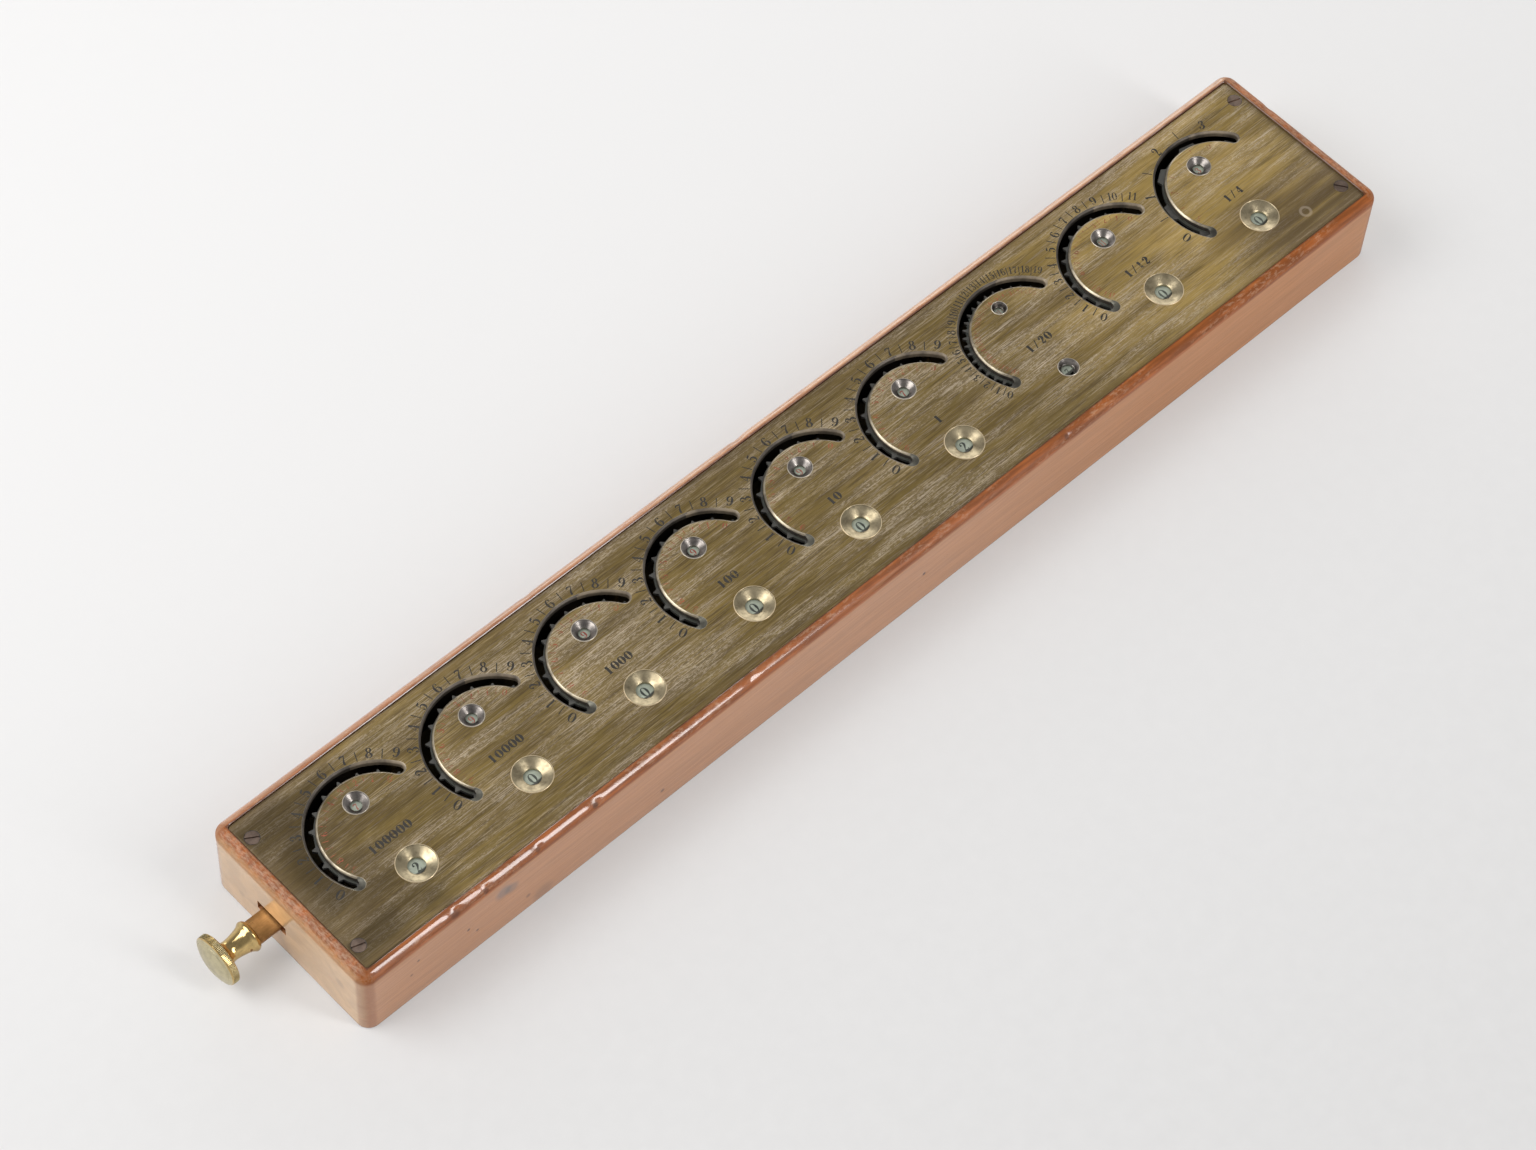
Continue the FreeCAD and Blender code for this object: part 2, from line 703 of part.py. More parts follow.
def make_carry_lever(index, name):
    """Bell crank: its nose rides on the cam of its dial, its pawl pin steps the next dial on the left."""
    x, y = stud_place(index)
    half = "(lever_width / 2)"
    pawl_x = f"({dial_x(index - 1)} + pawl_pin_x)"
    pin_top = f"({WHEEL_TOP} - pawl_pin_drop)"
    pieces = [
        cylinder("lever_hub_radius", "lever_thickness", x, y, LEVER_UNDERSIDE),
        box("lever_width", "lever_stud_y", "lever_thickness", f"{x} - {half}", y, LEVER_UNDERSIDE),
        cylinder("lever_nose_radius", "lever_thickness", nose_x(index), "dial_centre_y", LEVER_UNDERSIDE),
        cylinder(half, "lever_thickness", x, "dial_centre_y", LEVER_UNDERSIDE),
        box(f"{x} - {pawl_x}", "lever_width", "lever_thickness", pawl_x, f"{y} - {half}", LEVER_UNDERSIDE),
        cylinder(half, "lever_thickness", pawl_x, y, LEVER_UNDERSIDE),
        cylinder("pawl_pin_radius", f"{pin_top} - {LEVER_TOP}", pawl_x, y, LEVER_TOP),
    ]
    bore = cylinder("stud_radius + stud_running_clearance", "lever_thickness", x, y, LEVER_UNDERSIDE)
    return named(cut(fuse(pieces), [bore], f"{name}_lever_cut"), f"{name}_carry_lever")


def make_lever_studs():
    studs = []
    for index in range(1, len(DIALS)):
        x, y = stud_place(index)
        collar_z = f"({LEVER_TOP} + stud_play)"
        head_z = f"({LEVER_UNDERSIDE} - stud_play - stud_head_thickness)"
        studs.append(
            fuse(
                [
                    cylinder("stud_collar_radius", f"{PLATE_UNDERSIDE} - {collar_z}", x, y, collar_z),
                    cylinder("stud_radius", f"{collar_z} - {head_z}", x, y, head_z),
                    cylinder("stud_head_radius", "stud_head_thickness", x, y, head_z),
                ],
                "lever_stud",
            )
        )
    return named(group(studs), "lever_studs")


def make_lever_springs():
    """Leaf springs that press each lever's long arm towards its cam."""
    springs = []
    for index in range(1, len(DIALS)):
        x, y = stud_place(index)
        leaf_x = f"({x} - lever_width / 2 - spring_gap - spring_thickness)"
        leaf_z = f"({LEVER_TOP} - spring_height)"
        leaf_y = f"({y} + lever_spring_foot)"
        rivet_x = f"({leaf_x} + spring_thickness - spring_rivet_radius)"
        springs.append(
            fuse(
                [
                    box("spring_thickness", "lever_spring_length", "spring_height", leaf_x, leaf_y, leaf_z),
                    cylinder("spring_rivet_radius", f"{PLATE_UNDERSIDE} - {leaf_z}", rivet_x, leaf_y, leaf_z),
                ],
                "lever_spring",
            )
        )
    return named(group(springs), "lever_springs")


# ---------------------------------------------------------------- jumpers


def about_dial(solid, index, kind):
    """Turn a piece that was drawn along +X about its dial, to the bearing of its jumper."""
    return place(solid, dial_x(index), "dial_centre_y", turn=jumper_turn(kind))


def make_jumper(index, name, kind):
    half = "(jumper_width / 2)"
    pieces = [
        cylinder(
            "jumper_hub_radius", "wheel_thickness", "jumper_stud_reach", "jumper_length", WHEEL_UNDERSIDE
        ),
        box(
            "jumper_width",
            "jumper_length",
            "wheel_thickness",
            f"jumper_stud_reach - {half}",
            "0",
            WHEEL_UNDERSIDE,
        ),
        cylinder(half, "wheel_thickness", "jumper_stud_reach", "0", WHEEL_UNDERSIDE),
        cylinder("jumper_nose_radius", "wheel_thickness", JUMPER_NOSE, "0", WHEEL_UNDERSIDE),
    ]
    bore = cylinder(
        "stud_radius + stud_running_clearance",
        "wheel_thickness",
        "jumper_stud_reach",
        "jumper_length",
        WHEEL_UNDERSIDE,
    )
    jumper = cut(fuse(pieces), [bore], f"{name}_jumper_cut")
    return named(about_dial(jumper, index, kind), f"{name}_jumper")


def make_jumper_studs():
    studs = []
    for index, (_, kind, _) in enumerate(DIALS):
        reach, along = "jumper_stud_reach", "jumper_length"
        head_z = f"({WHEEL_UNDERSIDE} - stud_play - stud_head_thickness)"
        stud = fuse(
            [
                cylinder("stud_radius", f"{PLATE_UNDERSIDE} - {head_z}", reach, along, head_z),
                cylinder("stud_head_radius", "stud_head_thickness", reach, along, head_z),
            ],
            "jumper_stud",
        )
        studs.append(about_dial(stud, index, kind))
    return named(group(studs), "jumper_studs")


def make_jumper_springs():
    """Leaf springs that press each jumper between the teeth of its number wheel."""
    springs = []
    for index, (_, kind, _) in enumerate(DIALS):
        leaf_x = "(jumper_stud_reach + jumper_width / 2 + spring_gap)"
        foot_y = "(-1 * jumper_spring_foot)"
        leaf_z = f"({WHEEL_TOP} - spring_height)"
        rivet_x = f"({leaf_x} + spring_rivet_radius)"
        spring = fuse(
            [
                box("spring_thickness", "jumper_spring_length", "spring_height", leaf_x, foot_y, leaf_z),
                cylinder("spring_rivet_radius", f"{PLATE_UNDERSIDE} - {leaf_z}", rivet_x, foot_y, leaf_z),
            ],
            "jumper_spring",
        )
        springs.append(about_dial(spring, index, kind))
    return named(group(springs), "jumper_springs")


# ---------------------------------------------------------------- lower frame plate and pillars


def pillar_places():
    return [
        (gap_x(gap), f"{side} * pillar_side_distance") for gap in PILLAR_GAPS for side in (-1, 1)
    ]


def make_frame():
    frame = body("frame_plate_body")
    half_length, half_width = "(frame_length / 2)", "(frame_width / 2)"
    outline = sketch(frame, "frame_outline", offset=f"{FRAME_TOP} - frame_thickness")
    draw_rectangle(outline, f"-1 * {half_length}", f"-1 * {half_width}", half_length, half_width)
    plate = pad(frame, outline, "frame_pad", "frame_thickness")
    round_edges(frame, plate, "frame_corners", "frame_corner_radius", lambda p, upright: upright)
    holes = sketch(frame, "frame_holes_outline", offset=FRAME_TOP)
    for x, y in pillar_places():
        draw_circle(holes, "pillar_screw_radius", x, y)
    pocket(frame, holes, "frame_holes", "frame_thickness")
    return named(frame, "lower_frame_plate")


def make_pillars():
    pillars, screws = [], []
    for x, y in pillar_places():
        depth = "(pillar_screw_length - frame_thickness)"
        post = fuse(
            [
                cylinder("pillar_radius", f"{PLATE_UNDERSIDE} - {FRAME_TOP}", x, y, FRAME_TOP),
                cylinder("pillar_spigot_radius", "arbor_spigot_length", x, y, PLATE_UNDERSIDE),
            ]
        )
        pillars.append(cut(post, [cylinder("pillar_screw_radius", depth, x, y, FRAME_TOP)], "pillar"))
        underside = f"({FRAME_TOP} - frame_thickness)"
        head_z = f"({underside} - pillar_screw_head_thickness)"
        head = cylinder("pillar_screw_head_radius", "pillar_screw_head_thickness", x, y, head_z)
        shank = cylinder("pillar_screw_radius", "pillar_screw_length", x, y, underside)
        screws.append(fuse([head, shank], "pillar_screw"))
    named(group(pillars), "pillars")
    named(group(screws), "pillar_screws")


# ---------------------------------------------------------------- pull bar, lugs, keepers and knob


def make_pull_bar():
    left = f"({KNOB_FACE} - knob_grip_depth)"
    bar = box(f"bar_reach_right - {left}", "bar_width", "bar_thickness", left, BAR_FRONT, "bar_underside_z")
    hole = cylinder("knob_pin_radius", "bar_thickness", KNOB_PIN_X, "bar_centre_y", "bar_underside_z")
    return named(cut(bar, [hole], "pull_bar_cut"), "pull_bar")


def make_lugs():
    """Upright lugs on the bar, which sweep the zeroing pins round when the bar is pulled."""
    low_y = "(dial_centre_y + lug_low_y)"
    lugs = [
        box("lug_thickness", "lug_length", "lug_height", f"{dial_x(index)} + lug_distance", low_y, BAR_TOP)
        for index in range(len(DIALS))
    ]
    return named(group(lugs), "zeroing_lugs")


def make_keepers():
    """Low bridges screwed to the frame plate, under which the bar slides."""
    keepers = []
    for gap in KEEPER_GAPS:
        x = f"({gap_x(gap)} - keeper_length / 2)"
        inside = "(bar_width + 2 * keeper_side_gap)"
        inside_y = f"({BAR_FRONT} - keeper_side_gap)"
        block = box(
            "keeper_length",
            f"{inside} + 2 * keeper_foot_width",
            f"{BAR_TOP} + keeper_top_gap + keeper_thickness - {FRAME_TOP}",
            x,
            f"{inside_y} - keeper_foot_width",
            FRAME_TOP,
        )
        passage = box(
            "keeper_length", inside, f"{BAR_TOP} + keeper_top_gap - {FRAME_TOP}", x, inside_y, FRAME_TOP
        )
        keepers.append(cut(block, [passage], "keeper"))
    return named(group(keepers), "bar_keepers")


KNOB_PIN_X = f"({KNOB_FACE} - knob_grip_depth / 2)"


def along_left(solid_radius, length, start):
    """A cylinder about the knob's axis, which runs to the left from a place along X."""
    axis = (0, 1, 0)
    return cylinder(solid_radius, length, start, "bar_centre_y", KNOB_CENTRE_Z, turn="-90", axis=axis)


def make_knob():
    """Turned knob: a collar sawn to take the bar, a hollowed neck, and a domed disc."""
    disc_x = f"({KNOB_FACE} - knob_neck_length)"
    dome_x = f"({disc_x} - knob_band)"
    waist = "(knob_collar_radius - knob_neck_radius)"
    half_neck = "(0.45 * knob_neck_length)"
    hollow = f"(({half_neck} ^ 2 + {waist} ^ 2) / (2 * {waist}))"
    ring = doc.addObject("Part::Torus", "neck_hollow")
    bind(ring, Radius1=f"knob_neck_radius + {hollow}", Radius2=hollow)
    place(ring, f"{disc_x} + {half_neck}", "bar_centre_y", KNOB_CENTRE_Z, turn="-90", axis=(0, 1, 0))
    neck = cut(along_left("knob_collar_radius", "knob_neck_length", KNOB_FACE), [ring])

    dome_radius = "((knob_radius ^ 2 + knob_dome ^ 2) / (2 * knob_dome))"
    ball = doc.addObject("Part::Sphere", "knob_ball")
    bind(ball, Radius=dome_radius)
    place(ball, f"{dome_x} - knob_dome + {dome_radius}", "bar_centre_y", KNOB_CENTRE_Z)
    dome = doc.addObject("Part::Common", "knob_dome_cap")
    dome.Base = along_left("knob_radius", "knob_dome + cutter_overrun", dome_x)
    dome.Tool = ball

    turned = fuse([neck, along_left("knob_radius", "knob_band", disc_x), dome])
    saw_cut = box(
        "knob_grip_depth",
        "bar_width",
        "bar_thickness",
        f"{KNOB_FACE} - knob_grip_depth",
        BAR_FRONT,
        "bar_underside_z",
    )
    pin_low = f"({KNOB_CENTRE_Z} - knob_pin_length / 2)"
    pin_hole = cylinder("knob_pin_radius", "knob_pin_length", KNOB_PIN_X, "bar_centre_y", pin_low)
    named(cut(turned, [saw_cut, pin_hole], "knob_cut"), "knob")
    pin = cylinder("knob_pin_radius", "knob_pin_length", KNOB_PIN_X, "bar_centre_y", pin_low)
    named(pin, "knob_pin")


# ---------------------------------------------------------------- the whole machine

make_case()
make_face_plate()
make_corner_screws()
for number, (dial, wheel_kind, _) in enumerate(DIALS):
    make_number_wheel(number, dial, wheel_kind)
    make_cam_hub(number, dial)
    make_jumper(number, dial, wheel_kind)
    if number > 0:
        make_carry_lever(number, dial)
make_arbors()
make_lever_studs()
make_lever_springs()
make_jumper_studs()
make_jumper_springs()
make_frame()
make_pillars()
make_pull_bar()
make_lugs()
make_keepers()
make_knob()
doc.recompute()

for thing in doc.Objects:
    if {"Invalid", "Error"} & set(thing.State):
        raise RuntimeError(f"{thing.Label} did not build: {thing.State}")

os.makedirs("parts", exist_ok=True)
for node in NODES:
    if node.Shape.isNull() or not node.Shape.isValid():
        raise RuntimeError(f"{node.Label} has no valid shape")
    node.Shape.exportStep(f"parts/{node.Label}.step")
    print(f"{node.Label}: {len(node.Shape.Solids)} solid(s), {node.Shape.Volume:.1f} mm3")
print(len(NODES), "nodes")
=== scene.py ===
"""The looks of a stylus-operated adding machine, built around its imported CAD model.

A long wooden case holds a brass face plate with nine dials. Each dial has a C-shaped stylus slot, a
result window in front and a small complement window inside the slot, and a number wheel below. A pull
bar with a turned knob, at the left end, sets the dials to nought. Lengths are in millimetres unless a
name says otherwise, and MM turns them into Blender's metres.
"""

import math
from functools import partial, reduce

import bmesh
import bpy
from mathutils import Matrix, Vector, geometry, noise


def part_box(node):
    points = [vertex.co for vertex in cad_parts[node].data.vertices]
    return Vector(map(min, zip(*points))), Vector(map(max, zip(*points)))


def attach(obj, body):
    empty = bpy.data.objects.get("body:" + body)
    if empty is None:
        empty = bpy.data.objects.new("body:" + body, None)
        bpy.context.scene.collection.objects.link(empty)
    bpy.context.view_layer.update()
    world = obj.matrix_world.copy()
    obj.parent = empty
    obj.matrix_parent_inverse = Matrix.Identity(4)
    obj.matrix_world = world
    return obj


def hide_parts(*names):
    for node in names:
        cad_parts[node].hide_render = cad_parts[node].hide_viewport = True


bl_info = {
    "name": "Stylus adding machine",
    "version": (1, 0, 0),
    "blender": (4, 5, 0),
    "location": "View3D > Sidebar > Adding machine",
    "description": "Wooden case, brass face plate, number wheels and pull bar of a stylus adding machine",
    "category": "Object",
}

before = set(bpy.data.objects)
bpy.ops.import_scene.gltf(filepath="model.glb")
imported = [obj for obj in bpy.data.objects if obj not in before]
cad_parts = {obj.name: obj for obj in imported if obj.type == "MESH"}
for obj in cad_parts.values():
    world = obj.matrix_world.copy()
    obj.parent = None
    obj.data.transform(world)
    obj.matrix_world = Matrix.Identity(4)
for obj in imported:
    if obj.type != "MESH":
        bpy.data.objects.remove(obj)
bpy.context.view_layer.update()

MM = 0.001
UP = Vector((0, 0, 1))


def cad_box(node):
    """The lowest and highest corners of a CAD node, in millimetres."""
    low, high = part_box(node)
    return low / MM, high / MM


CASE_LOW, CASE_HIGH = cad_box("wooden_case")
PLATE_LOW, PLATE_HIGH = cad_box("face_plate")
BAR_LOW, BAR_HIGH = cad_box("pull_bar")
KNOB_LOW, KNOB_HIGH = cad_box("knob")
SCREWS_LOW, SCREWS_HIGH = cad_box("corner_screws")

# Each dial from left to right: name, places on its scale, digit that it shows, bearing of the nought on
# its scale in degrees, label below its centre.
DIALS = (
    ("hundred_thousands", 10, 2, 203.6, "100000"),
    ("ten_thousands", 10, 0, 203.6, "10000"),
    ("thousands", 10, 0, 203.6, "1000"),
    ("hundreds", 10, 0, 203.6, "100"),
    ("tens", 10, 0, 203.6, "10"),
    ("units", 10, 2, 203.6, "1"),
    ("shillings", 20, 7, 212.4, "1/20"),
    ("pence", 12, 0, 208.0, "1/12"),
    ("farthings", 4, 0, 197.0, "1/4"),
)
SMALL_WINDOW_DIAL = "shillings"
PLATE_CORNER = 1.0
# how far the filling of the figures stands above the face that they are engraved in
FIGURE_LIFT = 0.012
# how far a cutter reaches out of a turned piece
OVERRUN = 1.0


def dial_centre(name):
    """The middle of a dial, on the upper face of its number wheel."""
    low, high = cad_box(f"{name}_number_wheel")
    return Vector(((low.x + high.x) / 2, (low.y + high.y) / 2, high.z))


def scale_step(places):
    """The angle from one figure of a dial's scale to the next."""
    return math.pi / places


def screw_places():
    """Where the four corner screws stand."""
    head = bpy.context.scene.machine_screws.head_radius
    return [
        Vector((x, y, 0))
        for x in (SCREWS_LOW.x + head, SCREWS_HIGH.x - head)
        for y in (SCREWS_LOW.y + head, SCREWS_HIGH.y - head)
    ]


# ---------------------------------------------------------------- settings


def length(name, description, default, low=0.0):
    return bpy.props.FloatProperty(
        name=name, description=f"{description}, in millimetres", default=default, min=low, max=500.0
    )


def share(name, description, default):
    return bpy.props.FloatProperty(
        name=name, description=description, default=default, min=0.0, max=1.0, subtype="FACTOR"
    )


def power(name, description, default):
    return bpy.props.FloatProperty(name=name, description=description, default=default, unit="POWER")


def colour(name, description, default):
    return bpy.props.FloatVectorProperty(
        name=name, description=description, default=default, size=3, min=0.0, max=1.0, subtype="COLOR"
    )


def bearing(name, description, default):
    return bpy.props.FloatProperty(
        name=name,
        description=description,
        default=math.radians(default),
        subtype="ANGLE",
        unit="ROTATION",
    )


class CaseSettings(bpy.types.PropertyGroup):
    corner_radius: length("Corner radius", "Radius of the upright corners", 4.2)
    rim_radius: length("Rim radius", "Rounding of the upper edge", 2.9)
    foot_radius: length("Foot radius", "Rounding of the lower edge", 0.6)
    end_wall: length("End wall", "Thickness of the end walls", 10.5)
    side_wall: length("Side wall", "Thickness of the long walls", 6.7)
    floor: length("Floor", "Thickness of the bottom", 3.0)
    cavity_radius: length("Cavity radius", "Radius of the cavity's upright corners", 4.0)
    plate_gap: length("Plate gap", "Clearance round the face plate", 0.15)
    skin_step: length("Skin step", "Spacing of the outer surface's points", 1.1, 0.5)
    unevenness: length("Unevenness", "How far the hand-finished surface dips", 0.06)
    wood: colour("Wood", "Colour of the long sides", (0.45, 0.205, 0.088))
    end_wood: colour("End wood", "Colour of the end faces", (0.68, 0.43, 0.225))
    rim_wood: colour("Rim wood", "Colour of the polished upper edge", (0.30, 0.085, 0.018))


class PlateSettings(bpy.types.PropertyGroup):
    slot_radius: length("Slot radius", "Radius of a stylus slot's middle line", 19.0)
    slot_width: length("Slot width", "Width of a stylus slot", 3.0)
    slot_start: bearing("Slot start", "Bearing of the slot's right-hand end", 33.0)
    slot_end: bearing("Slot end", "Bearing of the slot's stop", 212.5)
    rubbed_end: bearing("Rubbed end", "Bearing up to which a slot's outer wall is rubbed", 72.0)
    lip_width: length("Lip width", "Width of the slot's bevel", 0.62)
    lip_depth: length("Lip depth", "Depth of the slot's bevel", 0.42)
    stop_scoop: length("Stop scoop", "Length of the scooped stop at the slot's end", 1.4)
    window_rim: length("Window rim", "Radius of a result window's rim", 6.05)
    window_hole: length("Window hole", "Radius of a result window's hole", 2.64)
    complement_rim: length("Complement rim", "Radius of a complement window's rim", 3.8)
    complement_hole: length("Complement hole", "Radius of a complement window's hole", 1.75)
    small_window_rim: length("Small window rim", "Rim radius of the small result window", 3.3)
    small_window_hole: length("Small window hole", "Hole radius of the small result window", 2.0)
    small_complement_rim: length("Small complement rim", "Radius of the rim of the small one", 2.5)
    small_complement_hole: length("Small complement hole", "Radius of the hole of the small one", 1.4)
    window_reach: length("Window reach", "Distance of a result window from the dial's centre", 15.87)
    complement_reach: length("Complement reach", "Distance of a complement window", 9.7)
    small_window_reach: length("Small window reach", "Distance of the small result window", 17.1)
    small_complement_reach: length("Small complement reach", "Distance of the small one", 12.0)
    brass: colour("Brass", "Colour of the aged plate", (0.285, 0.20, 0.066))
    golden: colour("Golden", "Colour of the plate where it stayed bright", (0.50, 0.345, 0.11))
    tarnish: colour("Tarnish", "Colour of its dark streaks", (0.125, 0.085, 0.042))
    residue: colour("Residue", "Colour of its pale worn patches", (0.76, 0.64, 0.49))


class FigureSettings(bpy.types.PropertyGroup):
    outer_radius: length("Outer radius", "Radius of the black figures at the middle of a scale", 22.8)
    end_flare: length("End flare", "How much further out the first and last figures are", 1.0)
    outer_height: length("Outer height", "Height of the black figures", 3.3)
    inner_radius: length("Inner radius", "Radius of the red scale's figures", 15.15)
    inner_height: length("Inner height", "Height of the red figures", 2.1)
    label_height: length("Label height", "Height of the place labels", 2.75)
    label_drop: length("Label drop", "Distance of the labels from the dial's centre line", 4.7)
    tick_radius: length("Tick radius", "Radius of the middle of the black scale's ticks", 23.0)
    tick_length: length("Tick length", "Length of the black scale's ticks", 3.1)
    tick_width: length("Tick width", "Width of a tick", 0.28)
    scale_stretch: bpy.props.FloatProperty(
        name="Scale stretch", description="How much wider the engraver spaced the figures", default=1.022
    )
    black: colour("Black", "Colour of the black filling", (0.020, 0.017, 0.013))
    red: colour("Red", "Colour of the red filling", (0.20, 0.045, 0.02))


class WheelSettings(bpy.types.PropertyGroup):
    root_radius: length("Root radius", "Radius of a number wheel between its teeth", 18.02)
    # past this radius the face is darkened with painted shade, by the teeth
    face_radius: length("Face radius", "Radius up to which the face is clean of grime", 17.15)
    tip_radius: length("Tip radius", "Radius over the teeth", 19.3)
    bore_radius: length("Bore radius", "Radius of the hole for the hub", 3.0)
    thickness: length("Thickness", "Thickness of a number wheel", 1.0)
    black_height: length("Black height", "Height of the result figures", 3.3)
    red_height: length("Red height", "Height of the complement figures", 2.3)
    face: colour("Face", "Colour of the silvered face", (0.50, 0.55, 0.45))
    # colour of the painted shade at the wheel's edge, by the teeth
    grime: colour("Grime", "Colour of the grime at the teeth", (0.035, 0.034, 0.03))


class ScrewSettings(bpy.types.PropertyGroup):
    head_radius: length("Head radius", "Radius of a screw's head", 2.2)
    head_depth: length("Head depth", "Depth of the countersunk head", 1.0)
    shank_radius: length("Shank radius", "Radius of the shank", 1.25)
    slot_width: length("Slot width", "Width of the driver slot", 0.5)
    slot_depth: length("Slot depth", "Depth of the driver slot", 0.45)
    turn_seed: bpy.props.IntProperty(
        name="Turn seed", description="Seed of the way each screw's slot points", default=3
    )
    steel: colour("Steel", "Colour of the browned steel", (0.34, 0.25, 0.20))


class BarSettings(bpy.types.PropertyGroup):
    edge: length("Edge", "Rounding of the bar's edges", 0.15)
    brass: colour("Brass", "Colour of the browned brass", (0.40, 0.20, 0.07))


class KnobSettings(bpy.types.PropertyGroup):
    ridges: bpy.props.IntProperty(
        name="Ridges", description="Number of knurled ridges", default=112, min=12
    )
    ridge_height: length("Ridge height", "Height of a knurled ridge", 0.12)
    brass: colour("Brass", "Colour of the turned brass", (0.64, 0.46, 0.20))
    face_brass: colour("Face brass", "Colour of the duller end face", (0.60, 0.535, 0.35))


class StageSettings(bpy.types.PropertyGroup):
    floor: colour("Floor", "Colour of the floor", (0.865, 0.858, 0.854))
    back_power: power("Back power", "Power of the low light behind", 6.5)
    key_power: power("Key power", "Power of the soft light behind the left end", 14.5)
    fill_power: power("Fill power", "Power of the soft light in front", 9.5)
    world_level: share("World level", "Brightness of the surroundings overhead", 0.32)


# ---------------------------------------------------------------- node trees


class Nodes:
    """Adds nodes to a tree. An input is a number, a colour or another node's output."""

    def __init__(self, tree):
        self.tree = tree

    def add(self, kind, inputs=None, output=0, **settings):
        """A new node with its inputs and settings. Gives one of its outputs, or else the node."""
        node = self.tree.nodes.new(kind)
        for name, value in settings.items():
            setattr(node, name, value)
        for key, value in (inputs or {}).items():
            socket = node.inputs[key]
            if isinstance(value, bpy.types.NodeSocket):
                self.tree.links.new(value, socket)
            elif socket.type == "RGBA" and len(value) == 3:
                socket.default_value = (*value, 1.0)
            else:
                socket.default_value = value
        return node.outputs[output] if node.outputs else node

    def math(self, operation, *values, clamp=False):
        return self.add("ShaderNodeMath", dict(enumerate(values)), operation=operation, use_clamp=clamp)

    def times(self, *values):
        return reduce(partial(self.math, "MULTIPLY"), values)

    def largest(self, *values):
        return reduce(partial(self.math, "MAXIMUM"), values)

    def plus(self, a, b, clamp=False):
        return self.math("ADD", a, b, clamp=clamp)

    def minus(self, a, b, clamp=False):
        return self.math("SUBTRACT", a, b, clamp=clamp)

    def size(self, value):
        return self.math("ABSOLUTE", value)

    def vector(self, x=0.0, y=0.0, z=0.0):
        return self.add("ShaderNodeCombineXYZ", {"X": x, "Y": y, "Z": z})

    def part(self, vector, axis):
        return self.add("ShaderNodeSeparateXYZ", {"Vector": vector}, axis)

    def vector_math(self, operation, *vectors, output="Vector"):
        inputs = dict(enumerate(vectors))
        return self.add("ShaderNodeVectorMath", inputs, output, operation=operation)

    def step(self, value, low, high):
        """0 where the value is at or before low, 1 at or past high, and smooth in between."""
        inputs = {"Value": value, "From Min": low, "From Max": high}
        return self.add("ShaderNodeMapRange", inputs, interpolation_type="SMOOTHSTEP")

    def band(self, value, low, full, fading, high):
        """1 from full to fading, 0 outside low and high, and smooth in between."""
        return self.times(self.step(value, low, full), self.step(value, high, fading))

    def span(self, value, low, high):
        """A value from 0 to 1 laid out between two others."""
        return self.add("ShaderNodeMapRange", {"Value": value, "To Min": low, "To Max": high})

    def mix(self, factor, a, b):
        inputs = {"Factor": factor, "A": a, "B": b}
        return self.add("ShaderNodeMix", inputs, "Result", data_type="RGBA")

    def over(self, tone, colour_here, *shares):
        """A colour laid over a tone, as thickly as the product of the shares says."""
        return self.mix(self.times(*shares), tone, colour_here)


class Finish(Nodes):
    """The nodes of one material, with the patterns that the machine's finishes share."""

    def __init__(self, name):
        self.material = bpy.data.materials.new(name)
        self.material.use_nodes = True
        super().__init__(self.material.node_tree)
        self.tree.nodes.clear()
        place = self.add("ShaderNodeTexCoord", output="Object")
        inputs = {"Vector": place, "Scale": 1 / MM}
        self.place = self.add("ShaderNodeVectorMath", inputs, operation="SCALE")
        self.x, self.y, self.z = self.part(self.place, "X").node.outputs

    def grain(self, stretch, detail=4.0, roughness=0.55, shift=0.0, warp=0.0):
        """Noise from 0 to 1 whose cells are as long on each axis as stretch says."""
        scale = [1 / part for part in stretch]
        vector = self.vector_math("MULTIPLY_ADD", self.place, scale, [shift] * 3)
        look = {"Detail": detail, "Roughness": roughness, "Distortion": warp}
        return self.add("ShaderNodeTexNoise", {"Vector": vector, "Scale": 1.0, **look})

    def patches(self, stretch, low, high, **grain):
        """1 in patches of noise past high, 0 where the noise is before low, and smooth in between."""
        return self.step(self.grain(stretch, **grain), low, high)

    def distance(self, spot):
        return self.vector_math("DISTANCE", self.place, spot, output="Value")

    def past_plate(self):
        """How far a point lies outside the face plate's outline; less than 0 within it."""
        past_end = self.minus(self.size(self.x), PLATE_HIGH.x)
        past_side = self.minus(self.size(self.y), PLATE_HIGH.y)
        return self.largest(past_end, past_side)

    def bump(self, height, distance, **more):
        """A bump that is this many millimetres deep where the height goes from 0 to 1."""
        inputs = {"Height": height, "Distance": distance * MM, "Strength": 1.0, **more}
        return self.add("ShaderNodeBump", inputs)

    def surface(self, **inputs):
        """Ends the material in a Principled shader. An underscore stands for a space in a name."""
        named = {key.replace("_", " "): value for key, value in inputs.items()}
        shader = self.add("ShaderNodeBsdfPrincipled", named)
        self.add("ShaderNodeOutputMaterial", {"Surface": shader})
        return self.material


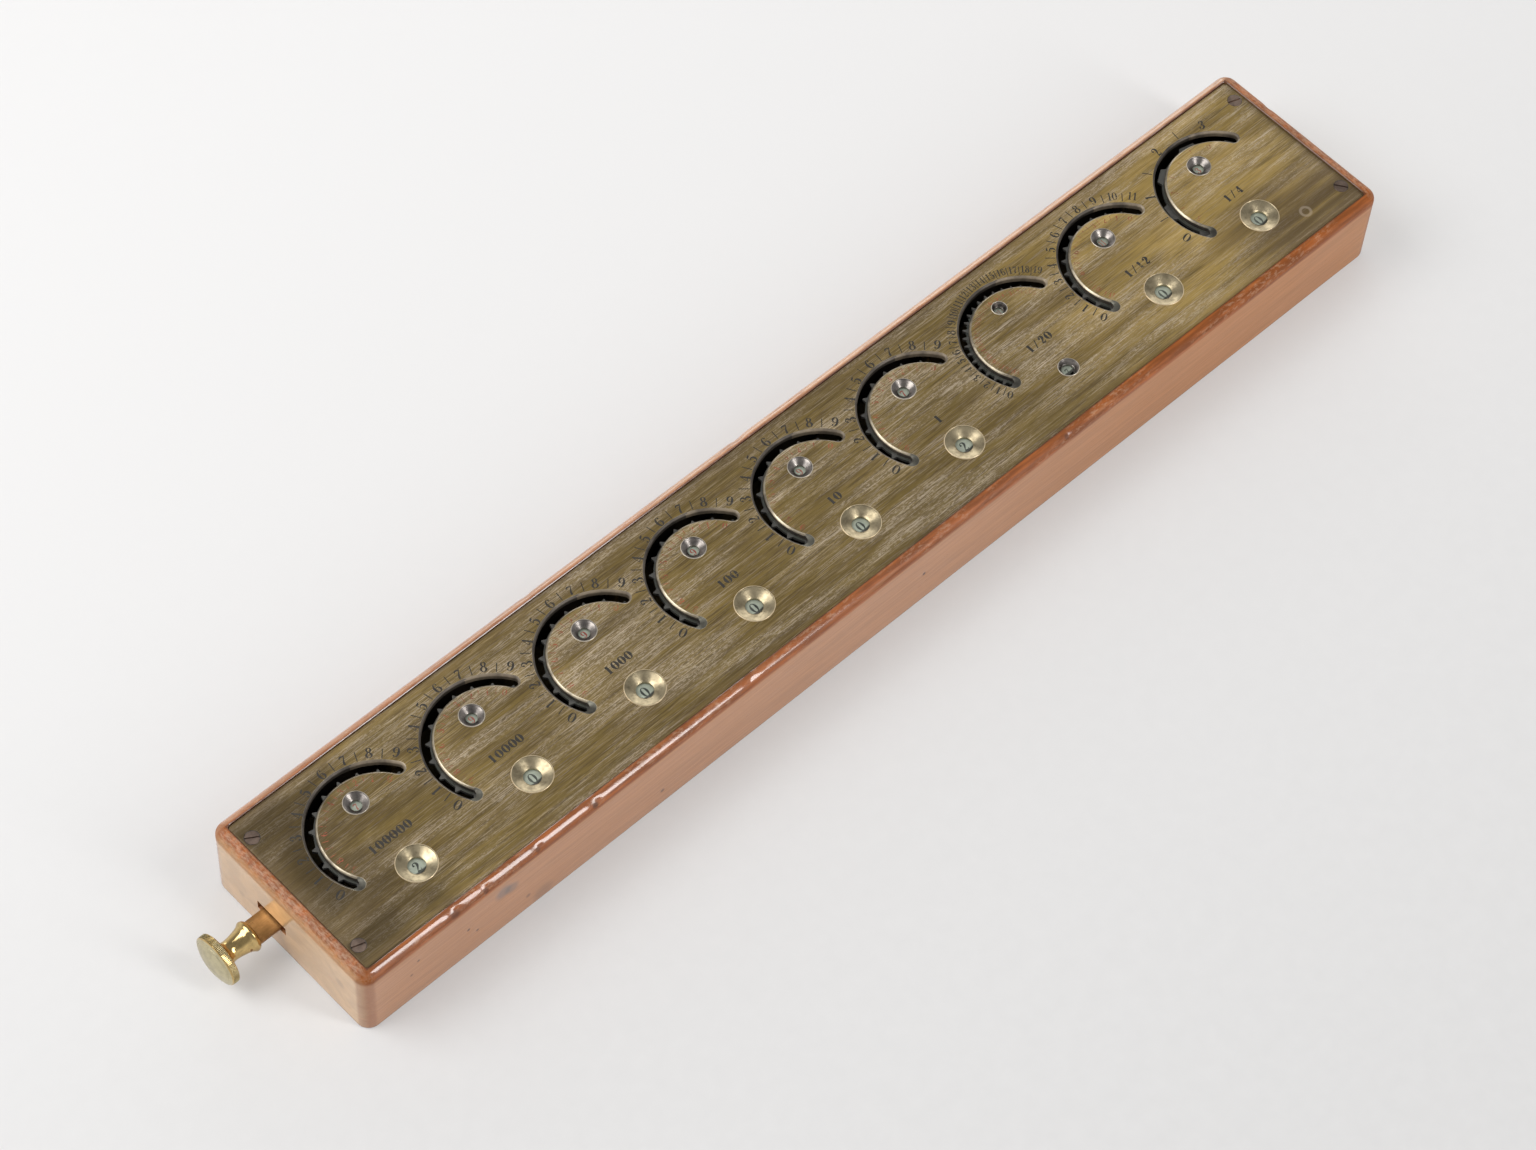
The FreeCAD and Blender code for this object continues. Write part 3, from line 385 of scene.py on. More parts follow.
class Recipe(Nodes):
    """A Geometry Nodes tree that makes one mesh. Its inputs are attributes with the same names."""

    def __init__(self, name, whole_numbers, numbers):
        """Names of the whole inputs and of the others, in one string each."""
        super().__init__(bpy.data.node_groups.new(name, "GeometryNodeTree"))
        kinds = {"geometry": "Geometry", "material": "Material"}
        kinds |= dict.fromkeys(whole_numbers.split(), "Int")
        kinds |= dict.fromkeys(numbers.split(), "Float")
        sockets = self.tree.interface
        sockets.new_socket("Geometry", in_out="OUTPUT", socket_type="NodeSocketGeometry")
        self.identifiers = {}
        for key, kind in kinds.items():
            title = key.replace("_", " ").capitalize()
            socket = sockets.new_socket(title, in_out="INPUT", socket_type=f"NodeSocket{kind}")
            self.identifiers[key] = socket.identifier
        start = self.tree.nodes.new("NodeGroupInput")
        for key, output in zip(kinds, start.outputs):
            setattr(self, key, output)

    def slab(self, curve, thickness):
        """A closed plate of that thickness from a flat outline, with its underside at 0."""
        flat = self.add("GeometryNodeFillCurve", {"Curve": curve}, mode="TRIANGLES")
        raised = self.add(
            "GeometryNodeExtrudeMesh",
            {"Mesh": flat, "Offset Scale": thickness, "Individual": False},
            mode="FACES",
        )
        under = self.add("GeometryNodeFlipFaces", {"Mesh": flat})
        both = self.join(raised, under)
        return self.add("GeometryNodeMergeByDistance", {"Geometry": both, "Distance": 1e-4})

    def join(self, *parts):
        joined = self.tree.nodes.new("GeometryNodeJoinGeometry")
        for part in parts:
            self.tree.links.new(part, joined.inputs[0])
        return joined.outputs[0]

    def instances(self, count, spot, instance, turn):
        """Instances on as many points, each with its own place and its own turn about Z."""
        points = self.add("GeometryNodePoints", {"Count": count, "Position": spot})
        return self.add(
            "GeometryNodeInstanceOnPoints",
            {"Points": points, "Instance": instance, "Rotation": self.vector(z=turn)},
        )

    def on_circle(self, count, radius, first, turn, instance):
        """Instances on a circle, the first at one bearing and each next one a turn further on."""
        index = self.add("GeometryNodeInputIndex")
        bearing_here = self.plus(first, self.times(index, turn))
        spot = self.vector(
            self.times(radius, self.math("COSINE", bearing_here)),
            self.times(radius, self.math("SINE", bearing_here)),
        )
        return self.instances(count, spot, instance, bearing_here)

    def end(self, made):
        real = self.add("GeometryNodeRealizeInstances", {"Geometry": made})
        painted = self.add("GeometryNodeSetMaterial", {"Geometry": real, "Material": self.material})
        finish = self.tree.nodes.new("NodeGroupOutput")
        self.tree.links.new(painted, finish.inputs[0])

    def cook(self, source=None, **values):
        """Runs the tree on a mesh, or on none, and gives its result as a plain mesh, in millimetres."""
        carrier = bpy.data.objects.new("carrier", source or bpy.data.meshes.new("seed"))
        bpy.context.scene.collection.objects.link(carrier)
        modifier = carrier.modifiers.new(self.tree.name, "NODES")
        modifier.node_group = self.tree
        for key, value in values.items():
            modifier[self.identifiers[key]] = value
        mesh = finished_mesh(carrier)
        discard(carrier)
        if not mesh.vertices:
            raise RuntimeError(f"{self.tree.name} made nothing")
        return mesh


# ---------------------------------------------------------------- mesh helpers


def finished_mesh(thing):
    """A new mesh of an object as its modifiers leave it."""
    dressed = thing.evaluated_get(bpy.context.evaluated_depsgraph_get())
    return bpy.data.meshes.new_from_object(dressed)


def discard(thing):
    """Removes an object and its mesh."""
    mesh = thing.data
    bpy.data.objects.remove(thing)
    bpy.data.meshes.remove(mesh)


def mesh_of(bm, name="solid"):
    """A new mesh from a finished bmesh, which is given up."""
    mesh = bpy.data.meshes.new(name)
    bm.to_mesh(mesh)
    bm.free()
    return mesh


def show(name, bm, materials, body, slot, *nodes, sharp=30.0):
    """Makes a finished piece of a mesh in millimetres and lets it ride on its body."""
    for edge in bm.edges:
        edge.smooth = edge.calc_face_angle(0.0) < math.radians(sharp)
    for face in bm.faces:
        face.smooth = True
    bmesh.ops.transform(bm, matrix=Matrix.Scale(MM, 4), verts=bm.verts)
    mesh = mesh_of(bm, name)
    for material in materials:
        mesh.materials.append(material)
    piece = bpy.data.objects.new(name, mesh)
    bpy.context.scene.collection.objects.link(piece)
    if nodes:
        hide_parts(*nodes)
    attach(piece, body)


def take(bm, mesh, matrix):
    """Adds a mesh to another, moved by a matrix and all of it in the first material."""
    first_vert = len(bm.verts)
    first_face = len(bm.faces)
    bm.from_mesh(mesh)
    bm.verts.ensure_lookup_table()
    bm.faces.ensure_lookup_table()
    bmesh.ops.transform(bm, matrix=matrix, verts=bm.verts[first_vert:])
    for face in bm.faces[first_face:]:
        face.material_index = 0
    bpy.data.meshes.remove(mesh)


def bridge(bm, ring_a, ring_b, material=0):
    """Joins two closed rings of as many points by a band of faces."""
    faces = []
    count = len(ring_a)
    for index in range(count):
        after = (index + 1) % count
        face = bm.faces.new((ring_a[index], ring_a[after], ring_b[after], ring_b[index]))
        face.material_index = material
        faces.append(face)
    return faces


def fill(bm, loops, upwards):
    """Fills a flat outline, the first loop, that has holes, the other loops."""
    flat = [vert for loop in loops for vert in loop]
    for corners in geometry.tessellate_polygon([[vert.co.copy() for vert in loop] for loop in loops]):
        face = bm.faces.new([flat[corner] for corner in corners])
        face.normal_update()
        if (face.normal.z > 0) != upwards:
            face.normal_flip()


def ring_of(bm, points):
    return [bm.verts.new(point) for point in points]


def tube(bm, outlines, material=0):
    """Joins each outline of points to the next by a band of faces, and gives its rings of points."""
    rings = [ring_of(bm, outline) for outline in outlines]
    for here, following in zip(rings, rings[1:]):
        bridge(bm, here, following, material)
    return rings


def polar(centre, radius, angle):
    return Vector((centre.x + radius * math.cos(angle), centre.y + radius * math.sin(angle), centre.z))


def arc(centre, radius, start, end, steps):
    """Points from the start of an arc to its end, both included."""
    return [polar(centre, radius, start + (end - start) * step / steps) for step in range(steps + 1)]


def circle(centre, radius, z, steps):
    """Points round a level circle at a height, counter-clockwise."""
    return [point + UP * z for point in arc(centre, radius, 0, 2 * math.pi, steps)[:-1]]


def quarter(steps):
    """Angles from nought to a right angle."""
    return [math.pi / 2 * step / steps for step in range(steps + 1)]


def rounded_ring(half_x, half_y, radius, z, full_x, full_y, step):
    """Points of a rounded rectangle, counter-clockwise; the full size sets how many there are."""
    core_x, core_y = half_x - radius, half_y - radius
    arcs = [
        [
            Vector((x + radius * math.cos(start + turn), y + radius * math.sin(start + turn), z))
            for turn in quarter(8)
        ]
        for x, y, start in (
            (core_x, -core_y, -math.pi / 2),
            (core_x, core_y, 0.0),
            (-core_x, core_y, math.pi / 2),
            (-core_x, -core_y, math.pi),
        )
    ]
    counts = (round(2 * full_y / step), round(2 * full_x / step)) * 2
    points = []
    for here, following, count in zip(arcs, arcs[1:] + arcs[:1], counts):
        points += here
        points += [here[-1].lerp(following[0], part / count) for part in range(1, count)]
    return points


def carved(bm, cutters):
    """Cuts closed tools out of a closed mesh."""
    objects = [bpy.data.objects.new("solid", mesh_of(solid)) for solid in (bm, *cutters)]
    for thing in objects:
        bpy.context.scene.collection.objects.link(thing)
    whole, *tools = objects
    for tool in tools:
        modifier = whole.modifiers.new("cut", "BOOLEAN")
        modifier.operation = "DIFFERENCE"
        modifier.solver = "EXACT"
        modifier.object = tool
    cut_mesh = finished_mesh(whole)
    result = bmesh.new()
    result.from_mesh(cut_mesh)
    bpy.data.meshes.remove(cut_mesh)
    for thing in objects:
        discard(thing)
    return result


def block(low, high):
    """A closed box between two corners."""
    bm = bmesh.new()
    bmesh.ops.create_cube(bm, size=1.0)
    size = Vector(high) - Vector(low)
    middle = (Vector(high) + Vector(low)) / 2
    bmesh.ops.transform(bm, matrix=Matrix.LocRotScale(middle, None, size), verts=bm.verts)
    return bm


def turned(profile, steps):
    """A closed turned solid about Z from pairs of radius and height, from the bottom to the top."""
    bm = bmesh.new()
    axis = Vector()
    rings = [ring_of(bm, circle(axis, radius, z, steps if radius else 1)) for radius, z in profile]
    for low, high in zip(rings, rings[1:]):
        if len(low) == len(high):
            bridge(bm, low, high)
            continue
        (pole,), ring = sorted((low, high), key=len)
        for index in range(steps):
            bm.faces.new((pole, ring[index], ring[(index + 1) % steps]))
    bmesh.ops.recalc_face_normals(bm, faces=bm.faces)
    return bm


# ---------------------------------------------------------------- figures

# width of the box that a figure is drawn in, whose height is 1
FIGURE_WIDTH = 0.6
# Strokes of the engraver's figures: points of x, y and half-width. A closed stroke ends where it
# starts; a dot is a single point.
STROKES = {
    "0": [
        ["closed", (0.3, 0.98, 0.02), (0.48, 0.84, 0.05), (0.54, 0.5, 0.085), (0.48, 0.16, 0.05)]
        + [(0.3, 0.02, 0.02), (0.12, 0.16, 0.05), (0.06, 0.5, 0.085), (0.12, 0.84, 0.05)]
    ],
    "1": [
        ["open", (0.3, 0.98, 0.075), (0.3, 0.02, 0.075)],
        ["open", (0.12, 0.025, 0.025), (0.48, 0.025, 0.025)],
        ["open", (0.13, 0.8, 0.02), (0.22, 0.87, 0.035), (0.3, 0.95, 0.05)],
    ],
    "2": [
        ["open", (0.09, 0.77, 0.02), (0.16, 0.92, 0.03), (0.31, 0.98, 0.03), (0.46, 0.88, 0.065)]
        + [(0.48, 0.7, 0.085), (0.37, 0.48, 0.06), (0.19, 0.23, 0.03), (0.08, 0.05, 0.02)],
        ["open", (0.08, 0.06, 0.03), (0.22, 0.1, 0.06), (0.38, 0.05, 0.06), (0.5, 0.1, 0.03)]
        + [(0.54, 0.26, 0.015)],
        ["dot", (0.14, 0.76, 0.075)],
    ],
    "3": [
        ["open", (0.11, 0.82, 0.02), (0.2, 0.95, 0.03), (0.33, 0.97, 0.03), (0.46, 0.84, 0.07)]
        + [(0.44, 0.66, 0.06), (0.27, 0.54, 0.02)],
        ["open", (0.27, 0.54, 0.02), (0.46, 0.45, 0.06), (0.52, 0.26, 0.085), (0.42, 0.08, 0.05)]
        + [(0.27, 0.02, 0.02), (0.13, 0.08, 0.02), (0.1, 0.18, 0.03)],
        ["dot", (0.14, 0.79, 0.07)],
        ["dot", (0.14, 0.2, 0.07)],
    ],
    "4": [
        ["open", (0.42, 0.97, 0.02), (0.05, 0.28, 0.02)],
        ["open", (0.05, 0.27, 0.025), (0.57, 0.27, 0.025)],
        ["open", (0.42, 0.97, 0.06), (0.42, 0.03, 0.075)],
        ["open", (0.27, 0.025, 0.025), (0.57, 0.025, 0.025)],
    ],
    "5": [
        ["open", (0.14, 0.9, 0.05), (0.33, 0.92, 0.07), (0.5, 0.98, 0.02)],
        ["open", (0.15, 0.94, 0.02), (0.13, 0.52, 0.02)],
        ["open", (0.13, 0.52, 0.02), (0.28, 0.62, 0.04), (0.46, 0.54, 0.07), (0.52, 0.32, 0.085)]
        + [(0.42, 0.09, 0.05), (0.26, 0.02, 0.02), (0.12, 0.08, 0.02)],
        ["dot", (0.14, 0.17, 0.07)],
    ],
    "6": [
        ["open", (0.46, 0.9, 0.02), (0.34, 0.98, 0.02), (0.18, 0.88, 0.05), (0.08, 0.62, 0.08)]
        + [(0.08, 0.34, 0.085), (0.16, 0.1, 0.05), (0.3, 0.02, 0.02), (0.46, 0.12, 0.06)]
        + [(0.52, 0.3, 0.075), (0.44, 0.5, 0.05), (0.3, 0.56, 0.02), (0.16, 0.48, 0.02)]
        + [(0.1, 0.36, 0.02)],
        ["dot", (0.44, 0.85, 0.065)],
    ],
    "7": [
        ["open", (0.08, 0.72, 0.02), (0.1, 0.86, 0.05), (0.26, 0.92, 0.06), (0.42, 0.88, 0.05)]
        + [(0.54, 0.97, 0.02)],
        ["open", (0.54, 0.96, 0.02), (0.4, 0.62, 0.04), (0.3, 0.34, 0.07), (0.28, 0.04, 0.085)],
    ],
    "8": [
        ["closed", (0.3, 0.98, 0.02), (0.44, 0.9, 0.05), (0.47, 0.76, 0.065), (0.41, 0.62, 0.05)]
        + [(0.3, 0.55, 0.03), (0.19, 0.62, 0.05), (0.13, 0.76, 0.065), (0.16, 0.9, 0.05)],
        ["closed", (0.3, 0.55, 0.03), (0.45, 0.44, 0.06), (0.53, 0.27, 0.08), (0.45, 0.09, 0.05)]
        + [(0.3, 0.02, 0.02), (0.15, 0.09, 0.05), (0.07, 0.27, 0.08), (0.15, 0.44, 0.06)],
    ],
    "/": [["open", (0.1, -0.04, 0.03), (0.5, 1.04, 0.03)]],
}
STROKES["9"] = [
    [kind, *((FIGURE_WIDTH - x, 1.0 - y, half) for x, y, half in points)]
    for kind, *points in STROKES["6"]
]
# from the left side of one figure to that of the next, where both are as tall as the box
FIGURE_PITCH = 0.66
# how much higher each stroke of a figure lies than the one before, so that no two tops share a plane
STROKE_LIFT = 0.003


def between(a, b, c, d, t):
    """A value between b and c on the smooth line through four values."""
    slope = c - a
    rise = 2 * a - 5 * b + 4 * c - d
    curl = 3 * b - a - 3 * c + d
    return 0.5 * (2 * b + slope * t + rise * t * t + curl * t * t * t)


def smoothed(points, closed, steps=4):
    """A smooth line through the points of a stroke, with as many points as steps on each part."""
    if len(points) < 3:
        return points
    count = len(points)
    around = [*points, *points[:2]] if closed else [*points, points[-1]]
    line = []
    for part in range(count if closed else count - 1):
        before = points[part - 1] if part or closed else points[0]
        ends = (before, *around[part : part + 3])
        for step in range(steps):
            line.append(tuple(between(*values, step / steps) for values in zip(*ends)))
    if not closed:
        line.append(points[-1])
    return line


def stroke_outline(points, closed, weight):
    """Pairs of points on the two sides of a stroke."""
    line = smoothed(points, closed)
    pairs = []
    for index, (x, y, half) in enumerate(line):
        before = line[index - 1] if index or closed else line[index]
        after = line[(index + 1) % len(line)] if index + 1 < len(line) or closed else line[index]
        across = Vector((before[1] - after[1], after[0] - before[0])).normalized() * half * weight
        pairs.append(((x + across.x, y + across.y), (x - across.x, y - across.y)))
    return pairs


def engrave_dot(bm, dot, matrix, depth, weight):
    x, y, half = dot
    top = ring_of(bm, [matrix @ point for point in circle(Vector((x, y, 0)), half * weight, 0, 10)])
    low = ring_of(bm, [vert.co - UP * depth for vert in top])
    bm.faces.new(top)
    bm.faces.new(low[::-1])
    bridge(bm, low, top)


def engrave_line(bm, points, closed, matrix, depth, weight):
    pairs = stroke_outline(points, closed, weight)
    rails = [
        ring_of(bm, [matrix @ Vector((*pair[side], 0)) - UP * drop for pair in pairs])
        for side, drop in ((0, 0), (1, 0), (1, depth), (0, depth))
    ]
    count = len(pairs)
    for index in range(count if closed else count - 1):
        after = (index + 1) % count
        for rail, next_rail in zip(rails, rails[1:] + rails[:1]):
            bm.faces.new((rail[index], next_rail[index], next_rail[after], rail[after]))
    if not closed:
        bm.faces.new([rail[0] for rail in rails][::-1])
        bm.faces.new([rail[-1] for rail in rails])


def engrave_number(bm, text, spot, height, turn, depth, weight, narrow=1.0, tracking=1.0):
    """A number centred on a spot, its upright pointing along the bearing turn + 90 degrees.

    Each figure is made of closed strokes, whose tops lie by the level of the spot, a hair apart.
    """
    pitch = FIGURE_PITCH * narrow * tracking
    for place, figure in enumerate(text):
        middle = (place - (len(text) - 1) / 2) * pitch
        shift = Vector((middle - FIGURE_WIDTH / 2 * narrow, -0.5, 0))
        matrix = (
            Matrix.Translation(spot)
            @ Matrix.Rotation(turn, 4, "Z")
            @ Matrix.Diagonal((height, height, 1, 1))
            @ Matrix.Translation(shift)
            @ Matrix.Diagonal((narrow, 1, 1, 1))
        )
        for layer, (kind, *points) in enumerate(STROKES[figure]):
            lifted = Matrix.Translation(UP * layer * STROKE_LIFT) @ matrix
            if kind == "dot":
                engrave_dot(bm, *points, lifted, depth, weight)
            else:
                engrave_line(bm, points, kind == "closed", lifted, depth, weight)


# ---------------------------------------------------------------- materials

BARE_WOOD = (0.57, 0.385, 0.255)
# pale back rim: partly wear, partly painted sheen of the polish seen at a slant
BACK_WEAR_AND_SHEEN = (0.69, 0.43, 0.27)
# dark line where the rim meets the plate: dirt and painted shade in the joint
JOINT_DIRT_AND_SHADE = (0.075, 0.028, 0.014)
FLECK = (0.07, 0.03, 0.018)
# the case is darker along its bottom edge
DARKER_FOOT = (0.12, 0.06, 0.03)
# painted shade: the wood inside the case is painted near black
SHADED_INNER_WOOD = ((0.010, 0.008, 0.007), (0.026, 0.019, 0.015))

# Marks in the wood: place, radius, strength and colour of each.
MARKS = (
    ((-153.5, -32.7, 19.6), 2.6, 0.55, (0.10, 0.10, 0.11)),
    ((-150.5, -32.7, 18.6), 2.2, 0.45, (0.09, 0.10, 0.11)),
    ((-166.3, -32.7, 13.8), 0.55, 0.9, (0.07, 0.03, 0.02)),
    ((-163.2, -32.7, 10.0), 0.5, 0.8, (0.09, 0.045, 0.03)),
    ((-184.3, -32.7, 18.4), 0.5, 0.8, (0.08, 0.04, 0.025)),
    ((-187.0, -32.7, 13.6), 0.5, 0.6, (0.09, 0.045, 0.03)),
    ((-94.0, -32.7, 7.0), 0.7, 0.7, (0.09, 0.045, 0.03)),
    ((-144.6, -32.7, 7.2), 0.8, 0.5, (0.09, 0.045, 0.03)),
    ((-139.0, -32.7, 3.0), 3.4, 0.3, (0.10, 0.05, 0.03)),
    ((9.0, -32.7, 14.0), 0.6, 0.9, (0.05, 0.02, 0.015)),
    ((-170.5, -32.2, 27.2), 1.4, 0.6, (0.09, 0.035, 0.02)),
    ((-159.5, -32.2, 27.0), 0.9, 0.6, (0.08, 0.03, 0.02)),
    ((-140.5, -32.2, 27.2), 0.8, 0.55, (0.10, 0.04, 0.02)),
    ((-119.3, -32.2, 27.2), 0.9, 0.7, (0.07, 0.03, 0.02)),
    ((67.0, -31.9, 27.6), 0.8, 0.6, (0.08, 0.03, 0.02)),
    ((-203.5, -22.0, 15.0), 1.6, 0.3, (0.22, 0.15, 0.10)),
    ((-203.5, 20.0, 8.5), 1.2, 0.25, (0.24, 0.16, 0.10)),
)
# Dents pressed into the case: place, radius and depth of each.
DENTS = (
    ((-153.0, -32.7, 19.4), 4.0, 0.16),
    ((-166.3, -32.7, 13.8), 1.3, 0.22),
    ((-163.2, -32.7, 10.0), 1.2, 0.18),
    ((-184.3, -32.7, 18.4), 1.3, 0.16),
    ((-94.0, -32.7, 7.0), 1.5, 0.16),
    ((9.0, -32.7, 14.0), 1.4, 0.25),
    ((-170.5, -31.9, 27.7), 2.6, 0.32),
    ((-159.5, -31.9, 27.7), 1.9, 0.26),
    ((-140.5, -31.9, 27.7), 1.7, 0.24),
    ((-119.3, -31.9, 27.7), 2.0, 0.30),
    ((-60.0, -31.6, 28.0), 2.2, 0.16),
    ((67.0, -31.7, 28.0), 1.9, 0.26),
    ((141.0, -31.9, 27.7), 1.8, 0.18),
    ((-202.7, -19.0, 27.8), 3.0, 0.36),
    ((-202.7, 4.0, 27.8), 2.4, 0.30),
    ((-202.7, 24.0, 27.8), 2.8, 0.34),
    ((-6.0, 31.9, 27.7), 3.0, 0.36),
    ((-88.0, 31.9, 27.7), 2.2, 0.25),
    ((202.7, 14.0, 27.8), 2.0, 0.22),
    ((202.6, -28.0, 3.0), 2.4, 0.30),
)

# Metals that no setting changes: colour, colour of the dirt, size of the marks, least and most
# roughness, how metallic.
METALS = {
    "tarnished slot wall": ((0.12, 0.10, 0.08), (0.05, 0.042, 0.036), (1.4, 1.4, 3), 0.4, 0.6, 0.5),
    "rubbed slot edge": ((0.44, 0.38, 0.28), (0.17, 0.145, 0.11), (1.2, 1.2, 0.5), 0.28, 0.5, 1.0),
    "bruised slot stop": ((0.15, 0.145, 0.12), (0.06, 0.056, 0.048), (0.8, 0.8, 0.5), 0.35, 0.6, 1.0),
    "bright window bead": ((0.80, 0.66, 0.44), (0.60, 0.48, 0.30), (1.5, 1.5, 0.5), 0.25, 0.4, 0.55),
    "grey window bead": ((0.62, 0.56, 0.46), (0.4, 0.36, 0.3), (1.5, 1.5, 0.5), 0.3, 0.45, 0.6),
    "rubbed slot wall": ((0.27, 0.215, 0.15), (0.10, 0.08, 0.06), (1.4, 1.4, 3), 0.4, 0.6, 0.35),
    "dull wheel teeth": ((0.14, 0.137, 0.125), (0.09, 0.087, 0.08), (1, 1, 1), 0.4, 0.6, 0.5),
    "black wheel figures": ((0.03, 0.035, 0.03), (0.09, 0.10, 0.08), (1, 1, 1), 0.5, 0.7, 0.0),
    "red wheel figures": ((0.30, 0.07, 0.05), (0.38, 0.16, 0.12), (1, 1, 1), 0.5, 0.7, 0.0),
    "knurled band brass": ((0.52, 0.45, 0.26), (0.2, 0.17, 0.1), (0.6, 0.6, 0.6), 0.25, 0.5, 1.0),
    "oiled movement brass": ((0.16, 0.12, 0.06), (0.06, 0.045, 0.025), (4, 0.3, 4), 0.35, 0.6, 1.0),
    "oiled lever steel": ((0.14, 0.135, 0.13), (0.06, 0.055, 0.05), (5, 0.3, 5), 0.3, 0.5, 1.0),
    "tempered spring steel": ((0.09, 0.10, 0.13), (0.05, 0.05, 0.06), (4, 0.4, 4), 0.25, 0.45, 1.0),
    "brown lug brass": ((0.14, 0.09, 0.045), (0.07, 0.045, 0.025), (3, 0.4, 3), 0.35, 0.55, 1.0),
}


def shade(colour_here, factor):
    """A colour made darker or lighter."""
    return [min(1.0, part * factor) for part in colour_here]


class Wood(Finish):
    """Reddish hardwood under worn french polish: orange at the upper edge, paler at the ends."""

    def __init__(self, settings):
        super().__init__("french polished hardwood")
        self.wood = settings.wood
        self.end_wood = settings.end_wood
        self.rim_wood = settings.rim_wood
        # distances from the case's outside: from the top, from an end, from a long side, from the back
        self.drop = self.minus(CASE_HIGH.z, self.z)
        self.from_end = self.minus(CASE_HIGH.x, self.size(self.x))
        self.from_side = self.minus(CASE_HIGH.y, self.size(self.y))
        self.from_back = self.minus(CASE_HIGH.y, self.y)
        self.end_rim = self.step(self.from_end, 4.5, 3.0)
        self.broad = self.grain((70, 5, 5), detail=5, roughness=0.6, warp=0.6)
        self.fine = self.grain((22, 0.55, 0.55), roughness=0.65, shift=7)
        self.pores = self.patches((3.2, 0.22, 0.22), 0.70, 0.82, detail=1, shift=3)
        self.inside = self.times(
            self.step(self.from_side, 5.2, 6.4),
            self.step(self.from_end, 9.0, 10.2),
            self.step(self.drop, 2.2, 2.8),
            self.step(self.z, 0.4, 0.8),
        )

    def polished(self):
        """The colour of the long sides, the ends and the rim."""
        long_side = self.mix(self.step(self.broad, 0.3, 0.75), shade(self.wood, 0.86), self.wood)
        long_side = self.over(long_side, shade(self.wood, 1.16), self.step(self.fine, 0.35, 0.8))
        cloud = self.patches((9, 14, 9), 0.35, 0.7, detail=5, roughness=0.6, shift=11, warp=1.0)
        lines = self.patches((6, 6, 0.5), 0.5, 0.75, detail=3, roughness=0.6, shift=17, warp=0.3)
        end_face = self.mix(cloud, shade(self.end_wood, 0.82), self.end_wood)
        end_face = self.over(end_face, shade(self.end_wood, 0.62), lines, 0.3)
        normal = self.add("ShaderNodeNewGeometry", output="Normal")
        facing_end = self.step(self.size(self.part(normal, "X")), 0.55, 0.95)
        body = self.mix(facing_end, long_side, end_face)

        wander = self.times(self.minus(self.grain((30, 30, 30), detail=2, shift=23), 0.5), 1.2)
        streaks = self.patches((16, 1.6, 1.6), 0.35, 0.75, shift=29)
        rim = self.mix(streaks, shade(self.rim_wood, 0.72), shade(self.rim_wood, 1.35))
        rim = self.over(rim, self.end_wood, facing_end, 0.45)
        tone = self.over(body, rim, self.step(self.minus(self.drop, wander), 4.4, 2.8))
        return self.over(tone, shade(self.rim_wood, 0.35), self.pores, 0.35)

    def scuffs(self):
        """1 where the polish is rubbed off, along the upper edges."""
        marks = self.patches((2.4, 1.1, 0.8), 0.46, 0.66, roughness=0.7, shift=87)
        cloud = self.patches((26, 9, 7), 0.42, 0.58, detail=3, shift=83)
        along_side = self.step(self.drop, 4.0, 1.2)
        side_scuffs = self.times(along_side, marks, cloud, self.span(self.end_rim, 0.35, 0.0))
        end_marks = self.patches((0.6, 2.0, 0.6), 0.38, 0.62, detail=5, roughness=0.72, shift=67)
        end_scuffs = self.times(self.step(self.drop, 3.6, 1.8), end_marks, self.end_rim, 0.42)
        return self.largest(side_scuffs, end_scuffs)

    def worn(self, tone, scuffed):
        """The colour with wear, dirt, flecks, marks, painted sheen on the back rim and painted shade."""
        tone = self.over(tone, BARE_WOOD, scuffed)
        # the back rim's outer rounding is paler, more to the right: partly wear, partly painted sheen
        back_marks = self.patches((7, 0.9, 0.9), 0.24, 0.5, roughness=0.65, shift=77)
        back_rim = self.times(self.step(self.from_back, 3.1, 2.1), self.step(self.drop, 2.4, 1.4))
        more_at_right = self.span(self.step(self.x, -200.0, 80.0), 0.35, 0.8)
        tone = self.over(tone, BACK_WEAR_AND_SHEEN, back_rim, back_marks, more_at_right)
        corner = self.times(self.end_rim, self.step(self.from_side, 4.5, 3.0))
        tone = self.over(tone, shade(self.rim_wood, 0.8), corner, self.span(self.broad, 0.2, 0.75))
        # a dark line on the rim beside the plate, partly dirt and partly painted shade in the joint
        beside_plate = self.step(self.past_plate(), 0.75, 0.2)
        tone = self.over(tone, JOINT_DIRT_AND_SHADE, self.step(self.drop, 1.2, 0.1), beside_plate, 0.8)
        flecks = self.patches((2.6, 1.4, 1.1), 0.70, 0.78, detail=3, roughness=0.6, shift=41)
        tone = self.over(tone, FLECK, flecks, self.step(self.drop, 7.0, 1.0), 0.6)
        rubbed = self.patches((34, 8, 2.2), 0.60, 0.74, shift=53)
        tone = self.over(tone, shade(self.wood, 1.5), rubbed, 0.3)
        for spot, radius, strength, mark in MARKS:
            inside_spot = self.step(self.distance(spot), radius * 1.5, radius * 0.5)
            tone = self.over(tone, mark, inside_spot, strength)
        # darker along the bottom edge, just above the floor
        tone = self.over(tone, DARKER_FOOT, self.step(self.z, 1.2, 0.2), 0.35)
        # painted shade inside the case, whose wood is painted near black
        return self.over(tone, self.mix(self.fine, *SHADED_INNER_WOOD), self.inside)

